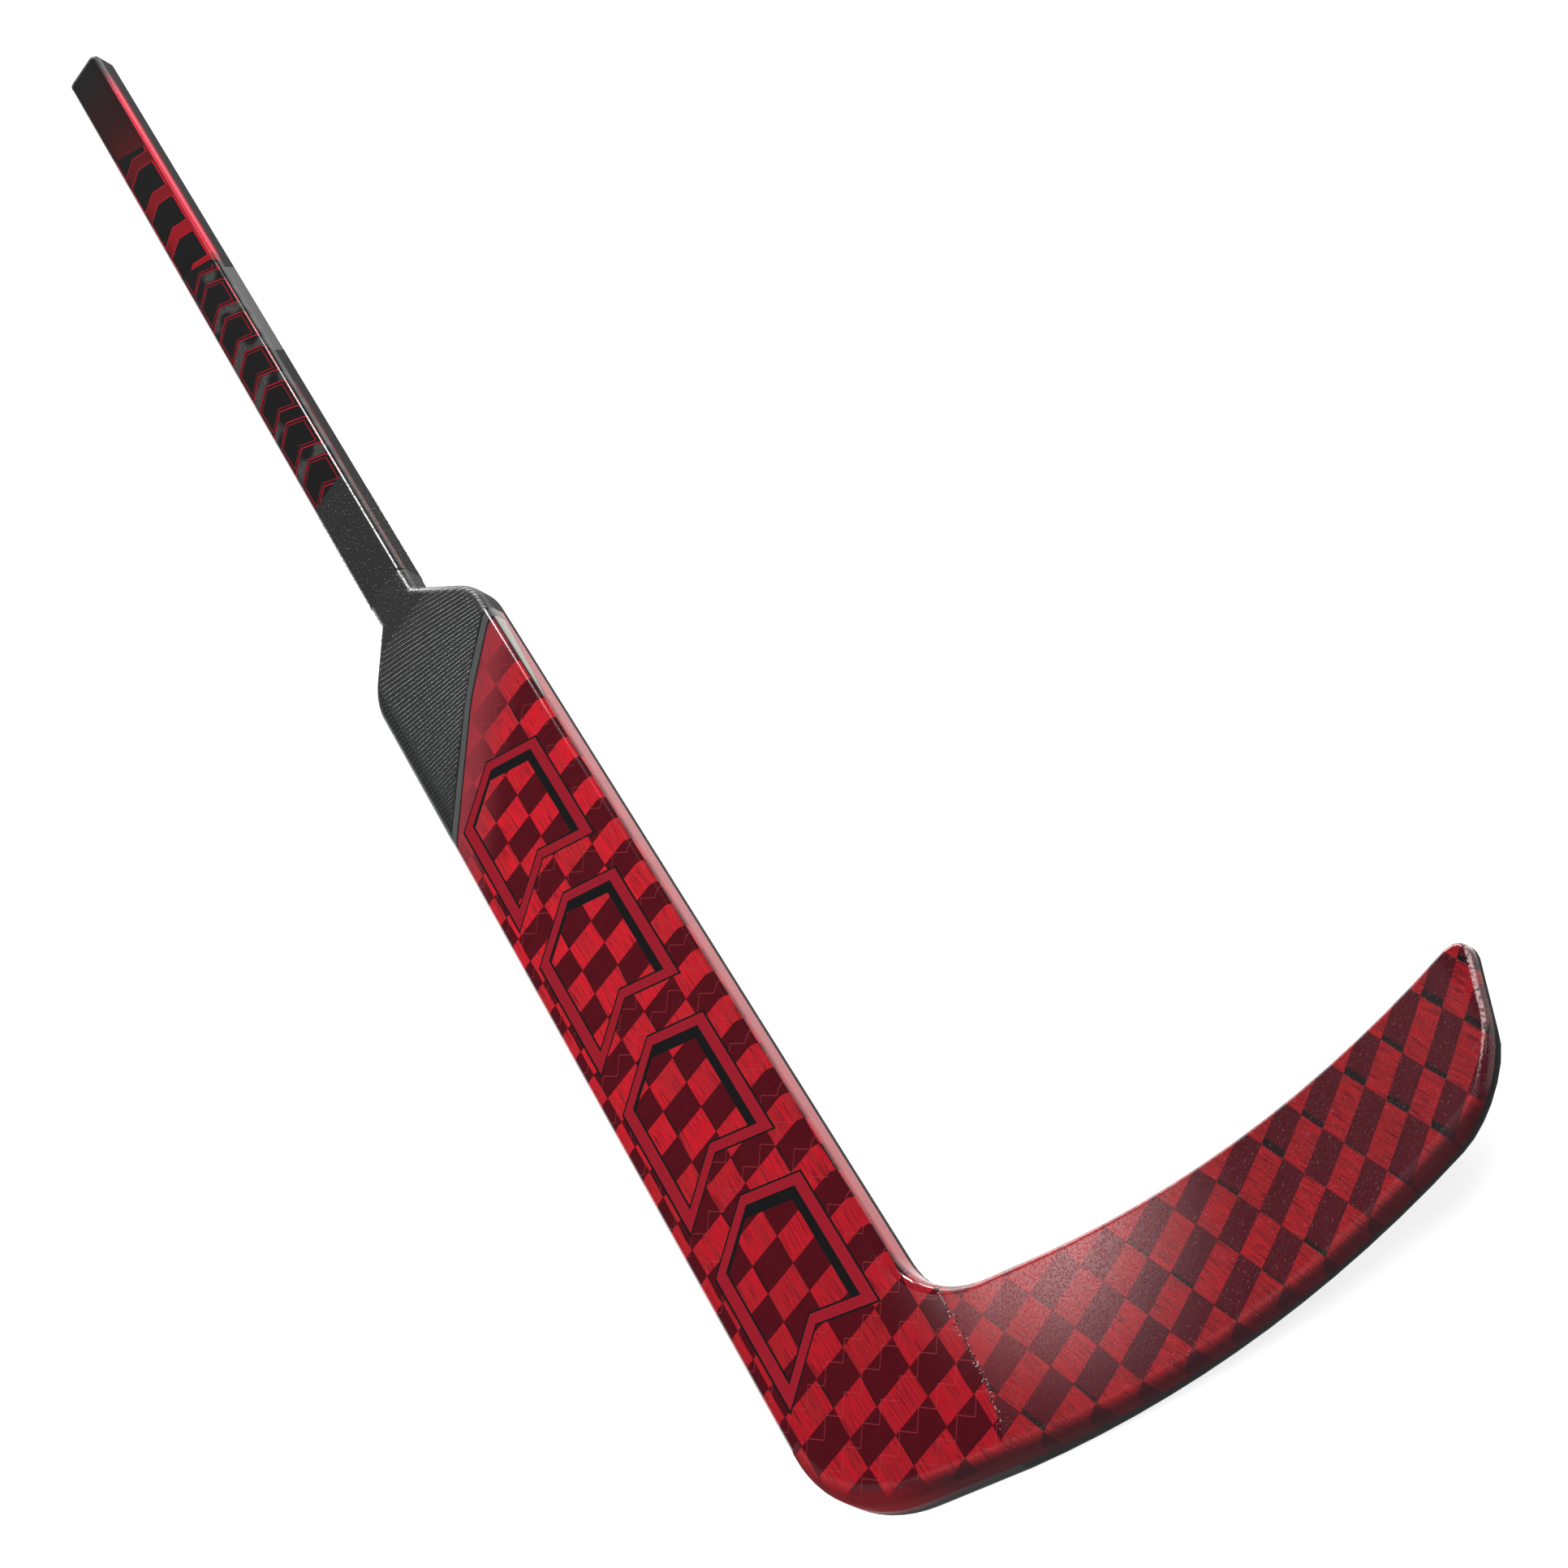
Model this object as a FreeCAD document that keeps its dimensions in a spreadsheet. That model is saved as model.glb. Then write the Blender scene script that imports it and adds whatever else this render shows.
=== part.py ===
import FreeCAD, Part
import math
import os
import Sketcher

# Goalkeeper's hockey stick, lying on its back.
# +X points from the paddle towards the toe of the blade, +Y runs up the shaft to the butt end,
# +Z is the front face's normal. The origin is the middle of the paddle's back face.
# The blade bends up, towards the front, about a line square to its root.

doc = FreeCAD.newDocument("goalie_stick")
sizes = doc.addObject("Spreadsheet::Sheet", "Sizes")

# Driving dimensions in millimetres and degrees
SIZES = (
    ("shaft_width", 30.0, "shaft across its wide faces"),
    ("depth", 20.0, "shaft and paddle from back face to front face"),
    ("shaft_corner", 5.0, "radius along the shaft's four corners"),
    ("wall", 2.4, "laminate of the shaft, paddle and blade"),
    ("shaft_length", 756.0, "neck to the cap at the butt end"),
    ("shaft_offset", 2.7, "shaft centre from the paddle centre, away from the toe"),
    ("cap_length", 4.0, "butt cap that shows past the shaft"),
    ("cap_edge", 1.0, "bevel of the butt cap"),
    ("spigot_length", 40.0, "butt plug inside the shaft"),
    ("spar_wall", 1.2, "laminate of the spar"),
    ("glue_gap", 0.2, "glue line round what fits inside a tube"),
    ("paddle_width", 89.0, "paddle across its faces"),
    ("shoulder_height", 377.3, "paddle middle up to the virtual corner of the shoulder"),
    ("neck_length", 22.7, "virtual corner of the shoulder up to the end of the shaft"),
    ("shoulder_angle", 57.8, "slope of the shoulder from square"),
    ("shoulder_inner_radius", 6.0, "hollow curve from shaft to shoulder"),
    ("shoulder_outer_radius", 51.0, "round curve from shoulder to paddle edge"),
    ("heel_length", 360.0, "paddle middle down to the virtual corner of the heel"),
    ("heel_radius", 85.5, "round of the heel"),
    ("inner_radius", 68.5, "hollow curve between paddle and blade"),
    ("edge_radius", 6.0, "rounding all along the edges of the paddle"),
    ("lie_angle", 32.3, "slope of the blade's bottom edge at the heel"),
    ("root_length", 10.0, "inner curve to the joint of paddle and blade"),
    ("blade_height", 84.2, "blade across its root"),
    ("blade_length", 290.0, "joint to toe along the bottom edge"),
    ("toe_slant_length", 13.7, "the top edge is this much shorter"),
    ("rocker_turn", 14.5, "turn of the bottom edge from joint to toe"),
    ("top_turn", 10.7, "turn of the top edge from joint to toe"),
    ("bend_turn", 15.8, "turn of the blade from the joint to the toe's round"),
    ("toe_thickness", 9.6, "blade from back to front at the toe"),
    ("blade_edge_radius", 4.2, "rounding of the blade's edges at the toe"),
    ("toe_bottom_radius", 33.0, "round of the toe at the ice"),
    ("toe_top_radius", 14.5, "round of the toe at the top edge"),
    ("wrap_corner_width", 9.5, "bend of the shoulder wrap's lower edge, across"),
    ("wrap_length", 111.8, "virtual corner of the shoulder down to the bend of the wrap's edge"),
    ("wrap_toe_slope", 45.5, "slope of the wrap's edge towards the toe side"),
    ("wrap_back_slope", 55.7, "slope of the wrap's edge towards the back side"),
    ("wrap_radius", 400.0, "curve of the wrap's edge"),
    ("spar_shaft_length", 70.0, "spar glued into the shaft"),
    ("spar_lower_length", 262.0, "paddle middle down to the end of the spar"),
    ("rib_thickness", 3.0, "ribs inside the blade, at its root"),
)

for row, (alias, value, note) in enumerate(SIZES, 1):
    sizes.set(f"A{row}", note)
    sizes.set(f"B{row}", str(value))
    sizes.setAlias(f"B{row}", alias)
doc.recompute()


CLOSE = 0.01


def size(expression):
    """Value of an expression over the sheet, as a plain number."""
    value = sizes.evalExpression(expression)
    return float(getattr(value, "Value", value))


def bind(item, **expressions):
    """Tie properties to the sheet; a double underscore stands for a dot in the property's path."""
    for path, expression in expressions.items():
        item.setExpression(path.replace("__", "."), expression)


# Sketches: closed outlines of straight runs whose corners are rounded by tangent arcs

def corner_arc(before, corner, after, kind, amount):
    """Start, middle and end of the arc that rounds one corner."""
    back = (before - corner).normalize()
    ahead = (after - corner).normalize()
    half_angle = back.getAngle(ahead) / 2
    if kind == "run":
        run = amount
        radius = run * math.tan(half_angle)
    else:
        radius = amount
        run = radius / math.tan(half_angle)
    inward = (back + ahead).normalize()
    middle = corner + inward * (radius / math.sin(half_angle) - radius)
    return corner + back * run, middle, corner + ahead * run


def draw_outline(sketch, corners):
    """Add one closed outline. A corner is (x, y), or (x, y, "radius" or "run", amount).

    Every entry is an expression over the sheet, and becomes a constraint that it drives.
    """
    places = [FreeCAD.Vector(size(corner[0]), size(corner[1]), 0) for corner in corners]
    count = len(corners)
    ends = []
    for i, corner in enumerate(corners):
        if len(corner) == 2:
            ends.append((places[i], None, places[i]))
        else:
            after = places[(i + 1) % count]
            ends.append(corner_arc(places[i - 1], places[i], after, corner[2], size(corner[3])))

    def drive(constraint, expression):
        index = sketch.addConstraint(constraint)
        sketch.setExpression(f"Constraints[{index}]", expression)

    points = []
    for place, corner in zip(places, corners):
        point = sketch.addGeometry(Part.Point(place), True)
        drive(Sketcher.Constraint("DistanceX", -1, 1, point, 1, place.x), corner[0])
        drive(Sketcher.Constraint("DistanceY", -1, 1, point, 1, place.y), corner[1])
        points.append(point)
    lines = []
    for i in range(count):
        run = Part.LineSegment(ends[i][2], ends[(i + 1) % count][0])
        lines.append(sketch.addGeometry(run, False))
    for i, corner in enumerate(corners):
        line_in = lines[i - 1]
        line_out = lines[i]
        if len(corner) == 2:
            sketch.addConstraint(Sketcher.Constraint("Coincident", line_in, 2, points[i], 1))
            sketch.addConstraint(Sketcher.Constraint("Coincident", line_out, 1, points[i], 1))
            continue
        sketch.addConstraint(Sketcher.Constraint("PointOnObject", points[i], 1, line_in))
        sketch.addConstraint(Sketcher.Constraint("PointOnObject", points[i], 1, line_out))
        start, middle, end = ends[i]
        arc = sketch.addGeometry(Part.Arc(start, middle, end), False)
        first, last = (1, 2) if sketch.getPoint(arc, 1).distanceToPoint(start) < 1e-6 else (2, 1)
        sketch.addConstraint(Sketcher.Constraint("Tangent", line_in, 2, arc, first))
        sketch.addConstraint(Sketcher.Constraint("Tangent", line_out, 1, arc, last))
        if corner[2] == "radius":
            drive(Sketcher.Constraint("Radius", arc, size(corner[3])), corner[3])
        else:
            drive(Sketcher.Constraint("Distance", points[i], 1, line_in, 2, size(corner[3])), corner[3])


def section_corners(width, depth, radius):
    """Rounded rectangle that is centred across and stands at half the stick's depth."""
    left, right = f"-({width}) / 2", f"({width}) / 2"
    low, high = f"(Sizes.depth - ({depth})) / 2", f"(Sizes.depth + ({depth})) / 2"
    return [(x, y, "radius", radius) for x, y in ((left, low), (right, low), (right, high), (left, high))]


def plain_sketch(name, corners):
    """Sketch of one outline, in the XY plane until it is placed."""
    sketch = doc.addObject("Sketcher::SketchObject", name)
    draw_outline(sketch, corners)
    return sketch


# Part features

def extrude(name, base, direction, ahead, behind="0"):
    block = doc.addObject("Part::Extrusion", name)
    block.Base = base
    block.DirMode = "Custom"
    block.Dir = FreeCAD.Vector(direction)
    block.Solid = True
    bind(block, LengthFwd=ahead, LengthRev=behind)
    return block


def combine(kind, name, base, tool):
    result = doc.addObject(f"Part::{kind}", name)
    result.Base = base
    result.Tool = tool
    result.Refine = True
    return result


def common(name, base, tool):
    return combine("Common", name, base, tool)


def cut(name, base, tool):
    return combine("Cut", name, base, tool)


def block(name, x, y, z, length, width, height):
    """Box from its lowest corner and its three sizes."""
    box = doc.addObject("Part::Box", name)
    bind(box, Placement__Base__x=x, Placement__Base__y=y, Placement__Base__z=z,
         Length=length, Width=width, Height=height)
    return box


# Outline of the paddle and heel, seen from the front, down to the joint with the blade

HALF = "Sizes.paddle_width / 2"
HEEL = ("-Sizes.paddle_width / 2", "-Sizes.heel_length")
LIE = "(Sizes.lie_angle * 1 deg)"
INNER_RUN = "Sizes.inner_radius * tan((45 - Sizes.lie_angle / 2) * 1 deg)"
ROOT_RUN = f"{INNER_RUN} + Sizes.root_length"
ROOT_AT = f"Sizes.paddle_width / cos({LIE}) - Sizes.blade_height * tan({LIE}) + {ROOT_RUN}"
SHAFT_LEFT = "-Sizes.shaft_offset - Sizes.shaft_width / 2"
SHAFT_RIGHT = "-Sizes.shaft_offset + Sizes.shaft_width / 2"
SHOULDER = "Sizes.shoulder_height"
NECK = "(Sizes.shoulder_height + Sizes.neck_length)"
SHOULDER_FALL = "tan(Sizes.shoulder_angle * 1 deg)"
LEFT_FALL = f"{SHOULDER} - (Sizes.paddle_width / 2 + {SHAFT_LEFT}) * {SHOULDER_FALL}"
RIGHT_FALL = f"{SHOULDER} - (Sizes.paddle_width / 2 - ({SHAFT_RIGHT})) * {SHOULDER_FALL}"


def step(start, length, slope):
    """Corner that lies a length away from another, down a slope towards the toe."""
    return (f"{start[0]} + ({length}) * cos({slope})", f"{start[1]} - ({length}) * sin({slope})")


INNER = (HALF, f"-Sizes.heel_length + (Sizes.blade_height - Sizes.paddle_width * sin({LIE})) / cos({LIE})")
ROOT_BOTTOM = step(HEEL, ROOT_AT, LIE)
ROOT_TOP = step(INNER, ROOT_RUN, LIE)


def paddle_outline(name, past_joint):
    """Paddle and heel, carried a little past the joint with the blade."""
    return plain_sketch(name, [
        (SHAFT_LEFT, NECK),
        (SHAFT_LEFT, SHOULDER, "radius", "Sizes.shoulder_inner_radius"),
        (HEEL[0], LEFT_FALL, "radius", "Sizes.shoulder_outer_radius"),
        (*HEEL, "radius", "Sizes.heel_radius"),
        step(ROOT_BOTTOM, past_joint, LIE),
        step(ROOT_TOP, past_joint, LIE),
        (*INNER, "radius", "Sizes.inner_radius"),
        (HALF, RIGHT_FALL, "radius", "Sizes.shoulder_outer_radius"),
        (SHAFT_RIGHT, SHOULDER, "radius", "Sizes.shoulder_inner_radius"),
        (SHAFT_RIGHT, NECK),
    ])


# Laminate of the paddle: a slab with rounded edges, less the space for the cores and the spar.
# Blocks that only mark out a zone span a shaft's length, which is past the stick's edges.
UP = (0, 0, 1)
SPAN = "Sizes.shaft_length"
paddle_slab = extrude("paddle_slab", paddle_outline("paddle_plan", "0"), UP, "Sizes.depth")
doc.recompute()


def is_end(face):
    """True for the two flat ends of the slab, at the neck and at the joint with the blade."""
    at_neck = abs(face.CenterOfMass.y - size(NECK)) < CLOSE
    root_middle = FreeCAD.Vector(size(f"({ROOT_BOTTOM[0]} + {ROOT_TOP[0]}) / 2"),
                                 size(f"({ROOT_BOTTOM[1]} + {ROOT_TOP[1]}) / 2"), size("Sizes.depth / 2"))
    return at_neck or face.CenterOfMass.distanceToPoint(root_middle) < CLOSE


def rim_edges(shape):
    """Numbers of the level edges round the front and the back, apart from those at the two ends."""
    found = []
    for number, edge in enumerate(shape.Edges, 1):
        level = edge.BoundBox.ZLength < CLOSE
        if level and not any(is_end(face) for face in shape.ancestorsOfType(edge, Part.Face)):
            found.append(number)
    return found


rounded_paddle = doc.addObject("Part::Fillet", "rounded_paddle")
rounded_paddle.Base = paddle_slab
edge_radius = size("Sizes.edge_radius")
rounded_paddle.Edges = [(number, edge_radius, edge_radius) for number in rim_edges(paddle_slab.Shape)]

core_outline = doc.addObject("Part::Offset2D", "core_outline")
core_outline.Source = paddle_outline("core_plan", "Sizes.wall")
core_outline.Mode = "Pipe"
core_outline.Join = "Arc"
bind(core_outline, Value="-Sizes.wall")
core_space = extrude("core_space", core_outline, UP, "Sizes.depth - 2 * Sizes.wall")
bind(core_space, Placement__Base__z="Sizes.wall")

BORE_WIDTH = "Sizes.shaft_width - 2 * Sizes.wall"
BORE_DEPTH = "Sizes.depth - 2 * Sizes.wall"
spar_slot = block("spar_slot", f"-Sizes.shaft_offset - ({BORE_WIDTH}) / 2", "-Sizes.spar_lower_length",
                  "Sizes.wall", BORE_WIDTH, f"Sizes.spar_lower_length + {SPAN}", BORE_DEPTH)
laminate = cut("laminate", cut("hollow_paddle", rounded_paddle, core_space), spar_slot)
front_half = block("front_half", f"-{SPAN}", f"-{SPAN}", "Sizes.depth / 2",
                   f"2 * {SPAN}", f"2 * {SPAN}", "Sizes.depth")

# The shoulder's wrap ends in a slanting edge
WRAP_CORNER = ("Sizes.wrap_corner_width", f"{SHOULDER} - Sizes.wrap_length")
WRAP_TOE = step(WRAP_CORNER, SPAN, "(-Sizes.wrap_toe_slope * 1 deg)")
WRAP_BACK = step(WRAP_CORNER, f"-{SPAN}", "(-Sizes.wrap_back_slope * 1 deg)")
wrap_zone = extrude("wrap_zone", plain_sketch("wrap_edge", [
    WRAP_BACK,
    (*WRAP_CORNER, "radius", "Sizes.wrap_radius"),
    WRAP_TOE,
    (WRAP_BACK[0], WRAP_TOE[1]),
]), UP, SPAN)
pieces = []
for face_side, split in (("front", common), ("back", cut)):
    skin = split(f"{face_side}_laminate", laminate, front_half)
    pieces.append(common(f"shoulder_wrap_{face_side}", skin, wrap_zone))
    pieces.append(cut(f"paddle_face_{face_side}", skin, wrap_zone))

# Foam on both sides of the spar, and in the heel
foam = cut("foam", core_space, spar_slot)
SPAR_MIDDLE = "-Sizes.shaft_offset"
toe_side_zone = block("toe_side_zone", SPAR_MIDDLE, "-Sizes.spar_lower_length", "0",
                      SPAN, f"Sizes.spar_lower_length + {SPAN}", SPAN)
back_side_zone = block("back_side_zone", f"{SPAR_MIDDLE} - {SPAN}", "-Sizes.spar_lower_length", "0",
                       SPAN, f"Sizes.spar_lower_length + {SPAN}", SPAN)
heel_zone = block("heel_zone", f"-{SPAN}", f"-Sizes.spar_lower_length - {SPAN}", "0",
                  f"2 * {SPAN}", SPAN, SPAN)
pieces.append(common("paddle_core_toe_side", foam, toe_side_zone))
pieces.append(common("paddle_core_back_side", foam, back_side_zone))
pieces.append(common("heel_core", foam, heel_zone))

# Stations along the blade: each has its place, its turn, and its section's sizes
BEND_STATIONS = 13
TOE_STATIONS = (0.8, 0.6, 0.42, 0.26, 0.14, 0.06, 0.015, 0.0)
stations = doc.addObject("Spreadsheet::Sheet", "Stations")
BEND_LENGTH = "(Sizes.blade_length - Sizes.toe_bottom_radius)"
BEND_RADIUS = f"{BEND_LENGTH} / (Sizes.bend_turn * pi / 180)"
BEND_RISE = f"{BEND_RADIUS} * (1 - cos(Sizes.bend_turn * 1 deg))"


def station(number, along, middle):
    """Fill one row with formulas: along is the way from the joint, middle the height of the seam."""
    to_toe = f"Sizes.blade_length - along_{number}"

    def lost_at_corner(radius):
        """How far a rounded toe corner draws the edge in."""
        return f"Sizes.{radius} - sqrt(Sizes.{radius}^2 - max(0; Sizes.{radius} - to_toe_{number})^2)"

    top_along = f"along_{number} * (1 - Sizes.toe_slant_length / Sizes.blade_length)"
    bottom_slope = f"(Sizes.lie_angle - Sizes.rocker_turn * share_{number} / 2) * 1 deg"
    top_slope = f"(Sizes.lie_angle - Sizes.top_turn * share_{number} / 2) * 1 deg"
    bottom = step(ROOT_BOTTOM, f"along_{number}", bottom_slope)
    top = step(ROOT_TOP, top_along, top_slope)
    fade = f"(1 - share_{number})^3"
    edge = f"Sizes.blade_edge_radius + (Sizes.edge_radius - Sizes.blade_edge_radius) * {fade}"
    half_full = f"(Sizes.toe_thickness + (Sizes.depth - Sizes.toe_thickness) * {fade}) / 2"
    formulas = (
        ("along", along),
        ("middle", middle),
        ("to_toe", to_toe),
        ("share", f"along_{number} / Sizes.blade_length"),
        ("x", bottom[0]),
        ("y", bottom[1]),
        ("top_x", top[0]),
        ("top_y", top[1]),
        ("turn", f"atan2(top_y_{number} - y_{number}; top_x_{number} - x_{number})"),
        ("width", f"sqrt((top_x_{number} - x_{number})^2 + (top_y_{number} - y_{number})^2)"),
        ("low", lost_at_corner("toe_bottom_radius")),
        ("high", f"width_{number} - ({lost_at_corner('toe_top_radius')})"),
        ("half", f"{half_full} - ({lost_at_corner('blade_edge_radius')})"),
        ("edge", f"({edge}) * half_{number} / ({half_full})"),
    )
    for column, (name, formula) in enumerate(formulas):
        cell = f"{chr(ord('A') + column)}{number + 1}"
        stations.set(cell, f"={formula}")
        stations.setAlias(cell, f"{name}_{number}")


station_count = 0
for part_of_bend in range(BEND_STATIONS + 1):
    share_of_bend = part_of_bend / BEND_STATIONS
    station(station_count, f"{BEND_LENGTH} * {share_of_bend}",
            f"Sizes.depth / 2 + {BEND_RADIUS} * (1 - cos(Sizes.bend_turn * {share_of_bend} * 1 deg))")
    station_count += 1
toe_start = station_count - 1
for share_of_toe in TOE_STATIONS:
    past_bend = f"Sizes.toe_bottom_radius * {1 - share_of_toe}"
    station(station_count, f"{BEND_LENGTH} + {past_bend}",
            f"Sizes.depth / 2 + {BEND_RISE} + {past_bend} * tan(Sizes.bend_turn * 1 deg)")
    station_count += 1
doc.recompute()

# Laminate of the blade: lofts through sections that stand square to it


def blade_loft(name, numbers, corners_at):
    """Ruled loft through upright sketches at some stations."""
    loft = doc.addObject("Part::Loft", name)
    sections = []
    for number in numbers:
        sketch = plain_sketch(f"{name}_{number}", corners_at(number))
        sketch.setExpression("Placement", f"placement(vector(Stations.x_{number}; Stations.y_{number}; 0);"
                                          f" rotation(Stations.turn_{number}; 0; 90))")
        sections.append(sketch)
    loft.Sections = sections
    loft.Solid = True
    loft.Ruled = True
    return loft


def shell_corners(number, towards, hollow):
    """Half of the blade's section, from the seam to one face, with or without its hollow."""
    low, high = f"Stations.low_{number}", f"Stations.high_{number}"
    seam, edge = f"Stations.middle_{number}", f"Stations.edge_{number}"
    face = f"{seam} + ({towards}) * Stations.half_{number}"
    outside = [(low, seam), (low, face, "radius", edge), (high, face, "radius", edge), (high, seam)]
    if not hollow:
        return outside
    inner_face = f"{seam} + ({towards}) * (Stations.half_{number} - Sizes.wall)"
    inner_low, inner_high = f"{low} + Sizes.wall", f"{high} - Sizes.wall"
    inside = [(inner_high, seam), (inner_high, inner_face), (inner_low, inner_face), (inner_low, seam)]
    return outside + inside


def core_corners(number):
    """The space for foam and ribs inside the blade's section."""
    low, high = f"Stations.low_{number} + Sizes.wall", f"Stations.high_{number} - Sizes.wall"
    back = f"Stations.middle_{number} - Stations.half_{number} + Sizes.wall"
    front = f"Stations.middle_{number} + Stations.half_{number} - Sizes.wall"
    return [(low, back), (high, back), (high, front), (low, front)]


for face_side, towards in (("front", 1), ("back", -1)):
    hollow = blade_loft(f"{face_side}_shell", range(toe_start + 1),
                        lambda number: shell_corners(number, towards, True))
    toe = blade_loft(f"{face_side}_toe", range(toe_start, station_count),
                     lambda number: shell_corners(number, towards, False))
    pieces.append(combine("Fuse", f"blade_face_{face_side}", hollow, toe))

# Foam strips and ribs of the blade, laid side by side across it
blade_space = blade_loft("blade_space", range(toe_start + 1), core_corners)
RIB_SLOPE = "Sizes.lie_angle - Sizes.rocker_turn / 2"
HALF_RIB = "Sizes.rib_thickness / 2"
LOWER_RIB = "Sizes.blade_height * 0.3"
UPPER_RIB = "Sizes.blade_height * 0.64"
STRIPS = (
    ("blade_core_lower", f"-{SPAN}", f"{LOWER_RIB} - {HALF_RIB}"),
    ("blade_rib_lower", f"{LOWER_RIB} - {HALF_RIB}", f"{LOWER_RIB} + {HALF_RIB}"),
    ("blade_core_middle", f"{LOWER_RIB} + {HALF_RIB}", f"{UPPER_RIB} - {HALF_RIB}"),
    ("blade_rib_upper", f"{UPPER_RIB} - {HALF_RIB}", f"{UPPER_RIB} + {HALF_RIB}"),
    ("blade_core_upper", f"{UPPER_RIB} + {HALF_RIB}", SPAN),
)
for strip_name, low, high in STRIPS:
    strip = extrude(f"{strip_name}_strip", plain_sketch(f"{strip_name}_plan", [
        (f"-{SPAN}", low),
        (SPAN, low),
        (SPAN, high),
        (f"-{SPAN}", high),
    ]), UP, SPAN)
    strip.Placement = FreeCAD.Placement(
        FreeCAD.Vector(0, 0, 0), FreeCAD.Rotation(FreeCAD.Vector(0, 0, 1), -1))
    bind(strip, Placement__Base__x=ROOT_BOTTOM[0], Placement__Base__y=ROOT_BOTTOM[1],
         Placement__Rotation__Angle=f"-({RIB_SLOPE}) * 1 deg")
    pieces.append(common(strip_name, blade_space, strip))

# The shaft, its butt plug and the spar: bodies padded from their section


def section_body(name, height, rings):
    """Body on the shaft's centre line, with a sketch of one or more rings in its XZ plane."""
    part_body = doc.addObject("PartDesign::Body", name)
    bind(part_body, Placement__Base__x="-Sizes.shaft_offset", Placement__Base__y=height)
    return part_body, section_sketch(part_body, f"{name}_section", rings)


def section_sketch(part_body, name, rings):
    sketch = part_body.newObject("Sketcher::SketchObject", name)
    plane = [item for item in part_body.Origin.OriginFeatures if item.Role == "XZ_Plane"][0]
    sketch.AttachmentSupport = [(plane, "")]
    sketch.MapMode = "FlatFace"
    for ring in rings:
        draw_outline(sketch, section_corners(*ring))
    return sketch


def pad(part_body, name, sketch, length, towards_butt):
    feature = part_body.newObject("PartDesign::Pad", name)
    feature.Profile = sketch
    feature.Reversed = towards_butt
    bind(feature, Length=length)
    return feature


OUTSIDE = ("Sizes.shaft_width", "Sizes.depth", "Sizes.shaft_corner")
BORE = (BORE_WIDTH, BORE_DEPTH, "Sizes.shaft_corner - Sizes.wall")
INSERT = (f"{BORE_WIDTH} - 2 * Sizes.glue_gap", f"{BORE_DEPTH} - 2 * Sizes.glue_gap",
          "Sizes.shaft_corner - Sizes.wall - Sizes.glue_gap")
SPAR_BORE = (f"{INSERT[0]} - 2 * Sizes.spar_wall", f"{INSERT[1]} - 2 * Sizes.spar_wall",
             f"{INSERT[2]} - Sizes.spar_wall")

shaft_tube, shaft_section = section_body("shaft_tube", NECK, (OUTSIDE, BORE))
pad(shaft_tube, "shaft_pad", shaft_section, "Sizes.shaft_length", True)
pieces.append(shaft_tube)

paddle_spar, spar_section = section_body("paddle_spar", "-Sizes.spar_lower_length", (INSERT, SPAR_BORE))
SPAR_LENGTH = f"Sizes.spar_lower_length + {NECK} + Sizes.spar_shaft_length"
pad(paddle_spar, "spar_pad", spar_section, SPAR_LENGTH, True)
pieces.append(paddle_spar)

SHAFT_END = f"{NECK} + Sizes.shaft_length"
butt_end_plug, cap_section = section_body("butt_end_plug", SHAFT_END, (OUTSIDE,))
cap_pad = pad(butt_end_plug, "cap_pad", cap_section, "Sizes.cap_length", True)
spigot_section = section_sketch(butt_end_plug, "spigot_section", (INSERT,))
spigot_pad = pad(butt_end_plug, "spigot_pad", spigot_section, "Sizes.spigot_length", False)
doc.recompute()
cap_top = size("Sizes.cap_length")
top_edges = [f"Edge{i}" for i, edge in enumerate(spigot_pad.Shape.Edges, 1)
             if edge.BoundBox.YMin > cap_top - CLOSE]
cap_bevel = butt_end_plug.newObject("PartDesign::Chamfer", "cap_bevel")
cap_bevel.Base = (spigot_pad, top_edges)
bind(cap_bevel, Size="Sizes.cap_edge")
pieces.append(butt_end_plug)

# Recompute, check every object, and write one file for each piece
doc.recompute()
for item in doc.Objects:
    if "Invalid" in item.State or "Error" in item.State:
        raise RuntimeError(f"{item.Name} failed: {item.State}")
os.makedirs("parts", exist_ok=True)
for piece in pieces:
    piece.Label = piece.Name
    shape = piece.Shape
    if shape.isNull() or not shape.isValid() or len(shape.Solids) != 1:
        raise RuntimeError(f"{piece.Label} is not one valid solid: {len(shape.Solids)} solids")
    shape.exportStep(f"parts/{piece.Label}.step")
    box = shape.BoundBox
    print(f"{piece.Label}: {shape.Volume / 1000:.1f} cm3, Y {box.YMin:.1f} to {box.YMax:.1f},"
          f" Z {box.ZMin:.1f} to {box.ZMax:.1f}")
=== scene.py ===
# %% [markdown]
# # A goalkeeper's hockey stick
# The stick lies on its back on a pale floor. It is a bonded laminate: a hollow shaft with a plug in its
# end, a ribbed collar over the shoulders, a wide paddle, and a blade that bends up towards the toe. The
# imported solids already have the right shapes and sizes, so this lesson is about surfaces: clean smooth
# skins over the solids, ribs that stand up from them, and finishes made from nodes alone.

import math

import bmesh
import bpy
from mathutils import Matrix, Vector


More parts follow.
